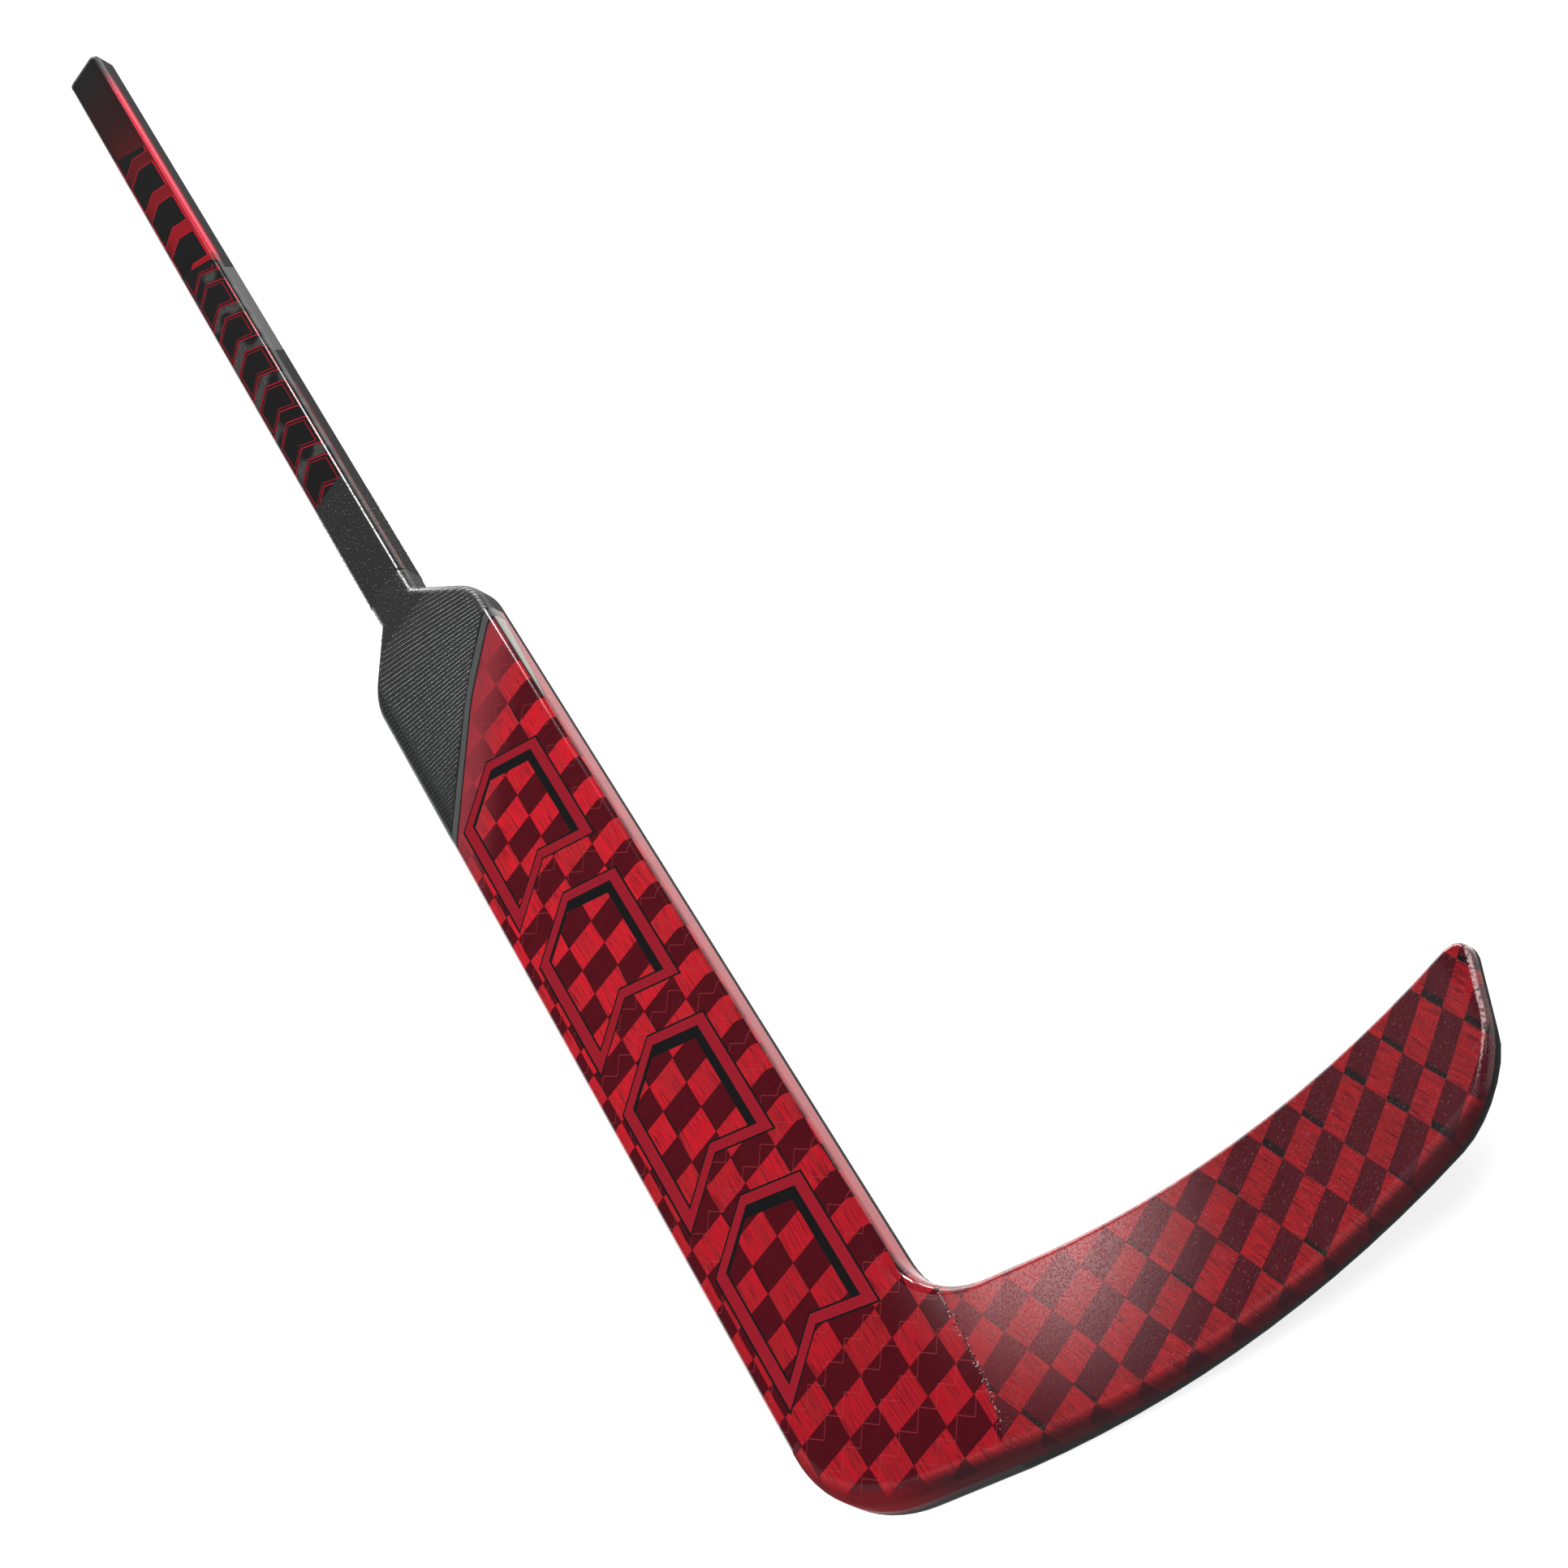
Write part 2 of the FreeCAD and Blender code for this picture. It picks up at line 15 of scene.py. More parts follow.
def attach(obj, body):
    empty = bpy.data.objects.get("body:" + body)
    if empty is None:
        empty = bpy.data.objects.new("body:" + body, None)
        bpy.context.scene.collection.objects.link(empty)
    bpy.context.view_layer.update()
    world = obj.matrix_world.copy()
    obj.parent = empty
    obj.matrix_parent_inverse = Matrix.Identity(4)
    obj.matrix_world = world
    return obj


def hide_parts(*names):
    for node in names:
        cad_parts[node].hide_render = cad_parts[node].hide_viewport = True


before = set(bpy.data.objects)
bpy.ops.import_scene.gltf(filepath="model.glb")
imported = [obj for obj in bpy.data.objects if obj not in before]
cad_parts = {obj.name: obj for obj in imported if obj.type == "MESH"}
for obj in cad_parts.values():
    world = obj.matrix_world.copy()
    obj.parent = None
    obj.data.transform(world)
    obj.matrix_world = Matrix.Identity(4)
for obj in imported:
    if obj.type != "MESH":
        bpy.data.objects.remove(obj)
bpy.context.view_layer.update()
MM = 0.001
scene = bpy.context.scene
print("solids:", ", ".join(sorted(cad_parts)))

# %% [markdown]
# ## The camera
# A camera could be set by eye, but straight edges of known length in the picture fix it exactly: the
# shaft's corners, the paddle's edges and the shoulder. The result is a long lens, a good two metres away,
# that looks along the stick from beyond the heel, rolled so that the paddle runs across the frame.

# %% Camera
CAMERA_PLACE = Vector((597.97, -1627.93, 1150.64)) * MM
CAMERA_RIGHT = Vector((0.58581, -0.34343, -0.73409))
CAMERA_UP = Vector((0.77622, 0.49821, 0.38635))
SENSOR = 36.0
LENS = 100.78

camera_data = bpy.data.cameras.new("camera")
camera_data.sensor_width = SENSOR
camera_data.lens = LENS
camera = bpy.data.objects.new("camera", camera_data)
axes = Matrix((CAMERA_RIGHT, CAMERA_UP, CAMERA_RIGHT.cross(CAMERA_UP))).transposed()
camera.matrix_world = Matrix.Translation(CAMERA_PLACE) @ axes.to_4x4()
scene.collection.objects.link(camera)
scene.camera = camera
print("camera looks along", [round(v, 3) for v in -axes.col[2]])

# %% [markdown]
# ## Numbers on a surface
# Every finish below is worked out from where a point lies on the stick, in millimetres. Wiring each sum by
# hand would take pages, so a small class lets plain arithmetic add the nodes: `a + b` becomes an Add node,
# `a < b` a Less Than node that gives 1 inside and 0 outside. The nodes that result are ordinary ones.

# %% Node arithmetic


def feed(tree, socket, term):
    """Fill a socket from a Value, from another socket, or with a plain number or colour."""
    if isinstance(term, Value):
        tree.links.new(term.socket, socket)
    elif isinstance(term, bpy.types.NodeSocket):
        tree.links.new(term, socket)
    elif socket.type == "RGBA":
        socket.default_value = (*term, 1.0)
    else:
        socket.default_value = term


class Value:
    """A number that nodes work out at every point of a surface."""

    def __init__(self, tree, socket):
        self.tree = tree
        self.socket = socket

    def math(self, operation, *others, first=None):
        node = self.tree.nodes.new("ShaderNodeMath")
        node.operation = operation
        terms = (self, *others) if first is None else (first, self)
        for socket, term in zip(node.inputs, terms):
            feed(self.tree, socket, term)
        return Value(self.tree, node.outputs[0])

    def __add__(self, other):
        return self.math("ADD", other)

    def __radd__(self, other):
        return self.math("ADD", other)

    def __sub__(self, other):
        return self.math("SUBTRACT", other)

    def __rsub__(self, other):
        return self.math("SUBTRACT", first=other)

    def __mul__(self, other):
        return self.math("MULTIPLY", other)

    def __truediv__(self, other):
        return self.math("DIVIDE", other)

    def __lt__(self, other):
        return self.math("LESS_THAN", other)

    def __gt__(self, other):
        return self.math("GREATER_THAN", other)

    def __abs__(self):
        return self.math("ABSOLUTE")

    def floor(self):
        return self.math("FLOOR")

    def fraction(self):
        return self.math("FRACT")

    def root(self):
        return self.math("SQRT")

    def least(self, other):
        return self.math("MINIMUM", other)

    def most(self, other):
        return self.math("MAXIMUM", other)

    def towards(self, share, target):
        """This number where share is 0, and the target where it is 1."""
        return self + share * (target - self)

    def ramp(self, low, high):
        """0 below low, 1 above high, and an easy slope between; low may be the larger one."""
        node = self.tree.nodes.new("ShaderNodeMapRange")
        node.interpolation_type = "SMOOTHSTEP"
        self.tree.links.new(self.socket, node.inputs["Value"])
        node.inputs["From Min"].default_value = min(low, high)
        node.inputs["From Max"].default_value = max(low, high)
        node.inputs["To Min"].default_value = 0.0 if low < high else 1.0
        node.inputs["To Max"].default_value = 1.0 if low < high else 0.0
        return Value(self.tree, node.outputs["Result"])


# %% [markdown]
# ## A tin of paint
# Each finish is one material: a Principled shader with a colour, a roughness and a relief. A second small
# class opens such a material and reads where the point lies. Object coordinates are used, not UV maps,
# because every piece keeps its place in its mesh, so that one pattern runs on from piece to piece.

# %% Paint


class Paint:
    """A material, its place in millimetres, and the few nodes that the finishes share."""

    def __init__(self, name):
        self.material = bpy.data.materials.new(name)
        self.material.use_nodes = True
        self.tree = self.material.node_tree
        self.tree.nodes.clear()
        self.shader = self.tree.nodes.new("ShaderNodeBsdfPrincipled")
        output = self.tree.nodes.new("ShaderNodeOutputMaterial")
        self.tree.links.new(self.shader.outputs[0], output.inputs["Surface"])
        place = self.tree.nodes.new("ShaderNodeTexCoord")
        parts = self.tree.nodes.new("ShaderNodeSeparateXYZ")
        self.tree.links.new(place.outputs["Object"], parts.inputs[0])
        self.x, self.y, self.z = (Value(self.tree, socket) * (1 / MM) for socket in parts.outputs)

    def vector(self, x, y, z=0.0):
        node = self.tree.nodes.new("ShaderNodeCombineXYZ")
        for socket, term in zip(node.inputs, (x, y, z)):
            feed(self.tree, socket, term)
        return node.outputs[0]

    def noise(self, x, y, z=0.0, detail=2.0):
        node = self.tree.nodes.new("ShaderNodeTexNoise")
        node.inputs["Scale"].default_value = 1.0
        node.inputs["Detail"].default_value = detail
        self.tree.links.new(self.vector(x, y, z), node.inputs["Vector"])
        return Value(self.tree, node.outputs[0])

    def grain(self, per_mm, detail=2.0, flat=False):
        """Noise with so many lumps to the millimetre; flat noise is the same at every height."""
        return self.noise(self.x * per_mm, self.y * per_mm, 0.0 if flat else self.z * per_mm, detail)

    def chance(self, x, y):
        """A steady random number for each pair of whole numbers."""
        node = self.tree.nodes.new("ShaderNodeTexWhiteNoise")
        node.noise_dimensions = "2D"
        self.tree.links.new(self.vector(x, y), node.inputs["Vector"])
        return Value(self.tree, node.outputs["Value"])

    def mix(self, share, first, second):
        """First where share is 0 and second where it is 1; each is a colour or a socket of one."""
        node = self.tree.nodes.new("ShaderNodeMix")
        node.data_type = "RGBA"
        for socket, term in ((node.inputs[0], share), (node.inputs[6], first), (node.inputs[7], second)):
            feed(self.tree, socket, term)
        return node.outputs[2]

    def finish(self, colour, roughness, height=None, relief=0.0, shine=0.5):
        """Wire colour, roughness and a relief in millimetres to the shader; shine is how much it mirrors."""
        self.shader.inputs["Specular IOR Level"].default_value = shine
        self.tree.links.new(colour, self.shader.inputs["Base Color"])
        self.tree.links.new(roughness.socket, self.shader.inputs["Roughness"])
        if height is not None:
            bump = self.tree.nodes.new("ShaderNodeBump")
            bump.inputs["Strength"].default_value = 1.0
            bump.inputs["Distance"].default_value = relief * MM
            self.tree.links.new(height.socket, bump.inputs["Height"])
            self.tree.links.new(bump.outputs[0], self.shader.inputs["Normal"])
        print("finish:", self.material.name, len(self.tree.nodes), "nodes")
        return self.material


# %% [markdown]
# ## The floor
# A white background could be bought with more light, but that would bleach the stick as well. Here the
# floor gives rays from the camera most of their white by itself; the lamps add the rest, so that the stick
# still leaves a soft shadow. Rays in a reflection see the same white floor, which is what lights up the
# lacquered edges.

# %% Floor
FLOOR_SIZE = 30.0
FLOOR_GLOW = 0.8
FLOOR_WHITE = (0.8, 0.8, 0.8)


def floor_white():
    """A plain white that also glows, but only for rays that look at it."""
    material = bpy.data.materials.new("floor_white")
    material.use_nodes = True
    tree = material.node_tree
    tree.nodes.clear()
    rays = tree.nodes.new("ShaderNodeLightPath")
    seen = Value(tree, rays.outputs["Is Camera Ray"])
    for kind in ("Is Glossy Ray", "Is Transmission Ray"):
        seen = seen.most(Value(tree, rays.outputs[kind]))
    paper = tree.nodes.new("ShaderNodeBsdfDiffuse")
    glow = tree.nodes.new("ShaderNodeEmission")
    both = tree.nodes.new("ShaderNodeAddShader")
    output = tree.nodes.new("ShaderNodeOutputMaterial")
    feed(tree, paper.inputs["Color"], FLOOR_WHITE)
    feed(tree, glow.inputs["Strength"], seen * FLOOR_GLOW)
    feed(tree, both.inputs[0], paper.outputs[0])
    feed(tree, both.inputs[1], glow.outputs[0])
    feed(tree, output.inputs["Surface"], both.outputs[0])
    return material


bpy.ops.mesh.primitive_plane_add(size=FLOOR_SIZE)
floor = bpy.context.object
floor.name = "floor"
floor.data.materials.append(floor_white())
print("floor:", FLOOR_SIZE, "m wide")

# %% [markdown]
# ## The light
# One soft box overhead would be the simplest lamp, but a flat gloss seen from above would mirror it as a
# pale haze, so two stand at the sides. A low panel beyond the butt draws the bright lines along rounded
# edges and ribs, a small box is mirrored in the grip's rounded corner, and a narrow beam raises the sheen
# at the blade's inner corner.

# %% Light
WORLD_LEVEL = 0.07
WHITE = (1.0, 1.0, 1.0)

world = bpy.data.worlds.new("studio")
world.use_nodes = True
backdrop = world.node_tree.nodes["Background"]
feed(world.node_tree, backdrop.inputs["Color"], WHITE)
feed(world.node_tree, backdrop.inputs["Strength"], WORLD_LEVEL)
scene.world = world
scene.view_settings.view_transform = "Standard"


def aim(name, data, place, target, power):
    """Put a lamp at a place and turn it to face a point of the stick."""
    data.energy = power
    lamp = bpy.data.objects.new(name, data)
    lamp.visible_camera = False
    lamp.location = place
    lamp.rotation_euler = (Vector(target) - Vector(place)).to_track_quat("-Z", "Y").to_euler()
    scene.collection.objects.link(lamp)


def soft_box(name, place, target, width, height, power):
    data = bpy.data.lights.new(name, "AREA")
    data.shape = "RECTANGLE"
    data.size = width
    data.size_y = height
    aim(name, data, place, target, power)


def snoot(name, place, target, beam, radius, power):
    """A lamp with a narrow, soft-edged beam, for one small place."""
    data = bpy.data.lights.new(name, "SPOT")
    data.spot_size = math.radians(beam)
    data.spot_blend = 1.0
    data.shadow_soft_size = radius
    aim(name, data, place, target, power)


soft_box("left_box", place=(-1.6, -0.3, 2.1), target=(0.0, 0.0, 0.0), width=2.4, height=1.3, power=47.0)
soft_box("right_box", place=(2.0, -0.3, 2.1), target=(0.1, 0.0, 0.0), width=2.4, height=1.3, power=54.0)
soft_box("butt_panel", place=(0.15, 4.6, 0.30), target=(0.0, 0.3, 0.0), width=2.4, height=0.5, power=46.0)
soft_box("grip_box", place=(1.0, 2.55, 0.85), target=(0.012, 0.46, 0.02), width=0.35, height=0.36, power=18.0)
snoot("corner_snoot", place=(-0.46, 1.11, 1.3), target=(0.116, -0.352, 0.02),
      beam=4.3, radius=0.02, power=12.0)

# %% [markdown]
# ## Skins over the solids
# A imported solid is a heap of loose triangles, which shades as facets. A copy with its corners merged can
# shade smoothly. Plain smooth shading would bend the light across the large flats, so the wider faces are
# given the greater say in each corner's normal.

# %% Skins
SHARP_ANGLE = math.radians(32.0)
MERGE_REACH = 0.001 * MM


def plain_mesh(piece):
    """Turn a piece with modifiers into one with its shape in its own mesh."""
    depsgraph = bpy.context.evaluated_depsgraph_get()
    piece.data = bpy.data.meshes.new_from_object(piece.evaluated_get(depsgraph))
    piece.modifiers.clear()
    return piece


def skin(node):
    """A merged, smoothly shaded copy of a node."""
    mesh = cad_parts[node].data.copy()
    work = bmesh.new()
    work.from_mesh(mesh)
    bmesh.ops.remove_doubles(work, verts=work.verts, dist=MERGE_REACH)
    for face in work.faces:
        face.smooth = True
    for edge in work.edges:
        edge.smooth = len(edge.link_faces) == 2 and edge.calc_face_angle() < SHARP_ANGLE
    work.to_mesh(mesh)
    work.free()
    mesh.materials.clear()
    piece = bpy.data.objects.new(f"{node}_skin", mesh)
    scene.collection.objects.link(piece)
    piece.modifiers.new("weights", "WEIGHTED_NORMAL").keep_sharp = True
    return plain_mesh(piece)


def dress(piece, material, node=None):
    """Give a piece its finish and its body, and hide the solid it stands for."""
    piece.data.materials.clear()
    piece.data.materials.append(material)
    if node:
        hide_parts(node)
    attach(piece, "root")


skins = {node: skin(node) for node in sorted(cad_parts)}
for node, piece in skins.items():
    print(node, len(piece.data.polygons), "triangles")

# %% [markdown]
# ## The woven red laminate
# Paddle and blade are covered with flat ribbons of fibre, about 20 mm wide, woven over and under each
# other. Where a lengthwise ribbon lies on top its fibres catch the light and look bright red; where a
# crossing ribbon lies on top it looks maroon. An image could hold this, but whole numbers can as well: the
# ribbon's number is the floor of the place over the width, and the sum of the two numbers, odd or even,
# says which lies on top. Each crossing then gets a steady random number, so that no two have the same
# streaks, tone or gap.

# %% Weave
RIBBON = 20.0
QUARTER = 0.25
UNEVEN = 1.6
UNEVEN_PHASE = 0.6
FIBRES_PER_MM = 1.7
FIBRE_RUN = 0.05
STREAK_SHUFFLE = 40.0
STREAKS = (0.49, 0.68)
TONES_PER_MM = 0.32
TONE_SHUFFLE = 60.0
TONE_SHARES = (0.4, 0.6)
MIDDLING = (0.35, 0.65)
GAP_CHANCE = (0.28, 0.78)
SEAM_SIDE = 0.28
SEAM_END = 0.30
SEAM_SHARE = 0.6
RIBBON_LEVEL = 0.7
STREAK_LEVEL = 0.3
GAP_BLACK = (0.010, 0.008, 0.009)


def ribbons(across, along):
    """Numbers of the two ribbons that cross at a point, and 1 where the lengthwise one lies on top."""
    column = (across / RIBBON).floor()
    row = (along / RIBBON).floor()
    return column, row, ((column + row) / 2).fraction() < QUARTER


def weave(paint, across, along, gap_most, reds):
    """Colour of the weave, and a height that is 0 in the gaps between ribbons."""
    across = across + (across * (math.pi / RIBBON) + UNEVEN_PHASE).math("SINE") * UNEVEN
    column, row, lengthwise = ribbons(across, along)
    chance = paint.chance(column, row)
    shuffled = chance * STREAK_SHUFFLE
    streaks_long = paint.noise(across * FIBRES_PER_MM, along * FIBRE_RUN + shuffled, detail=3.0)
    streaks_cross = paint.noise(across * FIBRE_RUN + shuffled, along * FIBRES_PER_MM, detail=3.0)
    tone = paint.noise(across * TONES_PER_MM, chance * TONE_SHUFFLE, detail=0.0).ramp(*MIDDLING)
    bright = paint.mix(chance * TONE_SHARES[0] + tone * TONE_SHARES[1], reds["bright"], reds["warm"])
    bright = paint.mix(streaks_long.ramp(*STREAKS), bright, reds["streak"])
    dark = paint.mix(streaks_cross.ramp(*MIDDLING), reds["dark"], reds["deep"])
    colour = paint.mix(lengthwise, dark, bright)
    beside = (across / RIBBON).fraction() * RIBBON
    gap = (beside < chance.ramp(*GAP_CHANCE) * gap_most) * (1 - lengthwise)
    end_on = (along / RIBBON).fraction() * RIBBON
    seam = (beside.least(RIBBON - beside) < SEAM_SIDE).most(end_on < SEAM_END)
    colour = paint.mix(seam * SEAM_SHARE, colour, reds["deep"])
    colour = paint.mix(gap, colour, GAP_BLACK)
    return colour, (1 - gap) * (streaks_long * STREAK_LEVEL + RIBBON_LEVEL)


print("ribbons:", RIBBON, "mm wide")

# %% Lay of the ribbons on the paddle
STREAK_RED = (0.23, 0.010, 0.017)
PADDLE_REDS = {"bright": (0.72, 0.012, 0.026), "warm": (0.50, 0.020, 0.028), "streak": STREAK_RED,
               "dark": (0.108, 0.0042, 0.0100), "deep": (0.066, 0.0030, 0.0072)}
PADDLE_GAP = 0.8
PADDLE_SHIFT = (-5.9, -3.6)
PADDLE_SKEW = 0.03
PADDLE_SWAY = 3.0
PADDLE_SWAYS_PER_MM = (0.01, 0.02)
HEELWARD_SHADE = (80.0, -380.0)
HEELWARD_SHADE_SHARE = 0.36


def paddle_weave(paint):
    """On the paddle the ribbons run straight up and across, and the red deepens towards the heel as painted
    shade.
    """
    sway = paint.noise(paint.x * PADDLE_SWAYS_PER_MM[0], paint.y * PADDLE_SWAYS_PER_MM[1])
    across = paint.x + sway * PADDLE_SWAY + PADDLE_SHIFT[0]
    along = paint.y + paint.x * PADDLE_SKEW + PADDLE_SHIFT[1]
    colour = weave(paint, across, along, PADDLE_GAP, PADDLE_REDS)[0]
    # painted shade: the red is darkened towards the heel, where less light falls
    return paint.mix(paint.y.ramp(*HEELWARD_SHADE) * HEELWARD_SHADE_SHARE, colour, PADDLE_REDS["deep"])


print("paddle: reds from", PADDLE_REDS["bright"], "to", PADDLE_REDS["deep"])

# %% Lay of the ribbons on the blade
BLADE_REDS = {"bright": (0.41, 0.012, 0.018), "warm": (0.30, 0.014, 0.018), "streak": (0.12, 0.007, 0.011),
              "dark": (0.092, 0.0070, 0.0140), "deep": (0.060, 0.0050, 0.0100)}
BLADE_GAP = 2.6
BLADE_STRETCH = 0.97
BLADE_LEAN = 0.24
BLADE_TURN = 0.11
BLADE_CURVE = 0.0005
BLADE_CROWD = 1.17
BLADE_SWAY = 4.0
BLADE_SWAYS_PER_MM = 0.008


def blade_weave(paint):
    """On the blade the lengthwise ribbons lean towards the toe, and the crossing ones follow its curve."""
    sway = paint.grain(BLADE_SWAYS_PER_MM, flat=True) * BLADE_SWAY
    across = paint.x * BLADE_STRETCH + paint.y * BLADE_LEAN + sway
    along = paint.y * BLADE_CROWD - paint.x * BLADE_TURN - paint.x * paint.x * BLADE_CURVE + sway
    return weave(paint, across, along, BLADE_GAP, BLADE_REDS)


print("blade: reds from", BLADE_REDS["bright"], "to", BLADE_REDS["deep"])

# %% [markdown]
# ## The collar's edge, drawn on the paddle
# Over the weave the paddle has a print and a clear gloss. A grey stripe follows the collar's slanting edge,
# with a dull hatched red below it, and a silver wedge, a painted highlight of the light in the rounded edge,
# runs down that edge on the toe side. A print is only a colour that depends on the place, so each motif here
# is a distance: how far a point lies below the collar's edge.

# %% Stripe and wedge
COLLAR_CORNER = (9.5, 265.5)
COLLAR_SLOPES = (math.tan(math.radians(45.5)), math.tan(math.radians(55.7)))
COLLAR_ROUNDING = 4.0
HATCH_LEAN = (0.25, 0.8)
HATCH_PITCH = 1.9
HATCH_LINE = (0.3, 0.7)
HATCH_SHARE = 0.35
DULL_RED = (0.33, 0.048, 0.062)
DULL_REACH = (78.0, 14.0)
DULL_SHARE = 0.86
STRIPE_START = 1.3
STRIPE_DROP = 9.0
STRIPE_LINE = 1.0
STRIPE_GREY = (0.092, 0.100, 0.096)
TOOTH_PITCH = 1.8
TOOTH_DEPTH = 2.0
PRINT_BLACK = (0.009, 0.008, 0.009)
HIGHLIGHT_SILVER = (0.42, 0.39, 0.33)
WEDGE_SIDE = 40.0
WEDGE_TIP = 202.0
WEDGE_TOP = 16.6
WEDGE_TAPER = 0.075
WEDGE_LINES = (1.0, 0.6)


def below_collar(paint):
    """How far a point lies below the collar's slanting edge, measured down the paddle."""
    toe_side, back_side = (COLLAR_CORNER[1] + (paint.x - COLLAR_CORNER[0]) * slope for slope in COLLAR_SLOPES)
    edge = toe_side.math("SMOOTH_MIN", back_side, COLLAR_ROUNDING)
    return edge - paint.y


def dulled_top(paint, colour, below):
    """A dull, finely hatched red that fades into the weave down the paddle."""
    hatch = (paint.y * HATCH_LEAN[1] + paint.x * HATCH_LEAN[0]) / HATCH_PITCH
    dull = paint.mix(hatch.fraction().ramp(*HATCH_LINE) * HATCH_SHARE, DULL_RED, STREAK_RED)
    return paint.mix(below.ramp(*DULL_REACH) * DULL_SHARE, colour, dull)


def collar_stripe(paint, colour, below):
    """A grey stripe with a toothed black line along its lower side."""
    teeth = (paint.y / TOOTH_PITCH).fraction() * TOOTH_DEPTH
    colour = paint.mix(below < STRIPE_DROP + STRIPE_LINE + teeth, colour, PRINT_BLACK)
    return paint.mix((below < STRIPE_DROP) * (below > STRIPE_START), colour, STRIPE_GREY)


def wedge_highlight(paint, colour, below):
    """A painted highlight on the rounded edge: an outlined silver wedge, which ends in a tip down the paddle.
    """
    on_edge = (paint.x > WEDGE_SIDE) * (paint.y > WEDGE_TIP) * (below > STRIPE_DROP + STRIPE_LINE)
    lower = WEDGE_TOP - (paint.y - WEDGE_TIP) * WEDGE_TAPER
    outline = (paint.z < WEDGE_TOP + WEDGE_LINES[0]) * (paint.z > lower - WEDGE_LINES[1])
    colour = paint.mix(on_edge * outline, colour, PRINT_BLACK)
    # painted highlight: silver where the light would be reflected in the rounded edge
    return paint.mix(on_edge * (paint.z < WEDGE_TOP) * (paint.z > lower), colour, HIGHLIGHT_SILVER)


print("stripe:", STRIPE_DROP - STRIPE_START, "mm wide; wedge ends at", WEDGE_TIP, "mm")

# %% [markdown]
# ## Chevrons
# A row of outlined chevrons lies along the face, over fine zigzag lines. Again each is a distance. The
# place along the row, cut into equal lengths, gives as many chevrons as there is room for, and bending it
# by the distance from the middle gives them their points.

# %% Print on the paddle
ROW_MIDDLE = -2.0
ROW_TOP = 222.0
ROW_FOOT = -290.0
ROW_PITCH = 128.0
CHEVRON = {"pitch": ROW_PITCH, "half_height": 47.0, "slope": 0.72, "half_width": 31.0}
PRINT_RED = (0.33, 0.011, 0.024)
BAND = 5.6
INK = 1.1
SHADE_SHIFT = (3.4, 4.4)
ZIGZAG_WIDTH = 13.0
ZIGZAG_DEPTH = 9.0
ZIGZAG_PITCH = 21.0
ZIGZAG_LINE = 0.65
ZIGZAG_SHARE = 0.5
ZIGZAG_RED = (0.42, 0.050, 0.060)


def chevrons(x, y, pitch, half_height, slope, half_width):
    """Distance outside a row of chevrons that point up the stick, negative inside one."""
    along = (((y + abs(x) * slope) / pitch).fraction() - 0.5) * pitch
    slanted = (abs(along) - half_height) * math.cos(math.atan(slope))
    return slanted.most(abs(x) - half_width)


def zigzag(paint):
    """1 on fine zigzag lines that run across the paddle."""
    wave = abs((paint.x / ZIGZAG_WIDTH).fraction() - 0.5) * (2 * ZIGZAG_DEPTH)
    return ((paint.y + wave) / ZIGZAG_PITCH).fraction() * ZIGZAG_PITCH < ZIGZAG_LINE


def paddle_print(paint, colour):
    """Outlined chevrons over fine zigzags: a red band between black lines, shaded in the upper flanks."""
    x = paint.x - ROW_MIDDLE
    y = paint.y - ROW_TOP
    bent = paint.y + abs(x) * CHEVRON["slope"]
    in_row = (bent < ROW_TOP) * (bent > ROW_FOOT)
    outside = chevrons(x, y, **CHEVRON)
    shaded = chevrons(x + SHADE_SHIFT[0], y + SHADE_SHIFT[1], **CHEVRON)
    between = 1 - in_row * (outside < 0.0)
    colour = paint.mix(between * zigzag(paint) * ZIGZAG_SHARE, colour, ZIGZAG_RED)
    colour = paint.mix(in_row * (shaded > -BAND - INK) * (outside < -BAND), colour, PRINT_BLACK)
    colour = paint.mix(in_row * (outside < INK) * (outside > -BAND - INK), colour, PRINT_BLACK)
    return paint.mix(in_row * (outside < 0.0) * (outside > -BAND), colour, PRINT_RED)


print("chevrons on the paddle:", round((ROW_TOP - ROW_FOOT) / ROW_PITCH))

# %% [markdown]
# ## The edge that meets the ice
# From the heel to the toe the lower edge is dull from rubbing on the ice, and its colour is painted darker
# as shade where it turns away from the light. A band at a given height would miss it, because the blade
# rises towards the toe. In plan the edge is simple, an arc round the heel and then a parabola, so the depth
# inside that line finds it at any height.

# %% Lower edge
SOLE_LINE = (-386.5, -0.6954, 0.000706)
HEEL_CENTRE = (41.0, -310.8)
HEEL_RADIUS = 85.5
HEEL_END = -8.0
FAR_AWAY = 1000.0
LOW_WALL = (17.0, 14.0)
SOLE_SLOPE = 0.35
SOLE_EDGE = (-340.0, -400.0)
SOLE_ROUNDING = (9.0, 4.0)
SOLE_ROUGHNESS = 0.95
SHADE_DEPTH = (6.5, 1.0)
SOLE_SHADE_SHARE = 0.85
SOLE_SHADE_DARK = (0.030, 0.0055, 0.0090)


def apart(paint, centre):
    """How far a point lies from a centre, seen from above."""
    across = paint.x - centre[0]
    up = paint.y - centre[1]
    return (across * across + up * up).root()


def sole_depth(paint):
    """How far a point lies inside the lower edge, in plan an arc round the heel and then a parabola."""
    low = paint.x * SOLE_LINE[1] + SOLE_LINE[0] + paint.x * paint.x * SOLE_LINE[2]
    elsewhere = (paint.x > HEEL_END).most(paint.y > HEEL_CENTRE[1]) * FAR_AWAY
    return (paint.y - low).least(HEEL_RADIUS - apart(paint, HEEL_CENTRE) + elsewhere)


def below_heel(paint):
    """0 on the paddle, 1 from the heel on."""
    return (paint.y + paint.x * SOLE_SLOPE).ramp(*SOLE_EDGE)


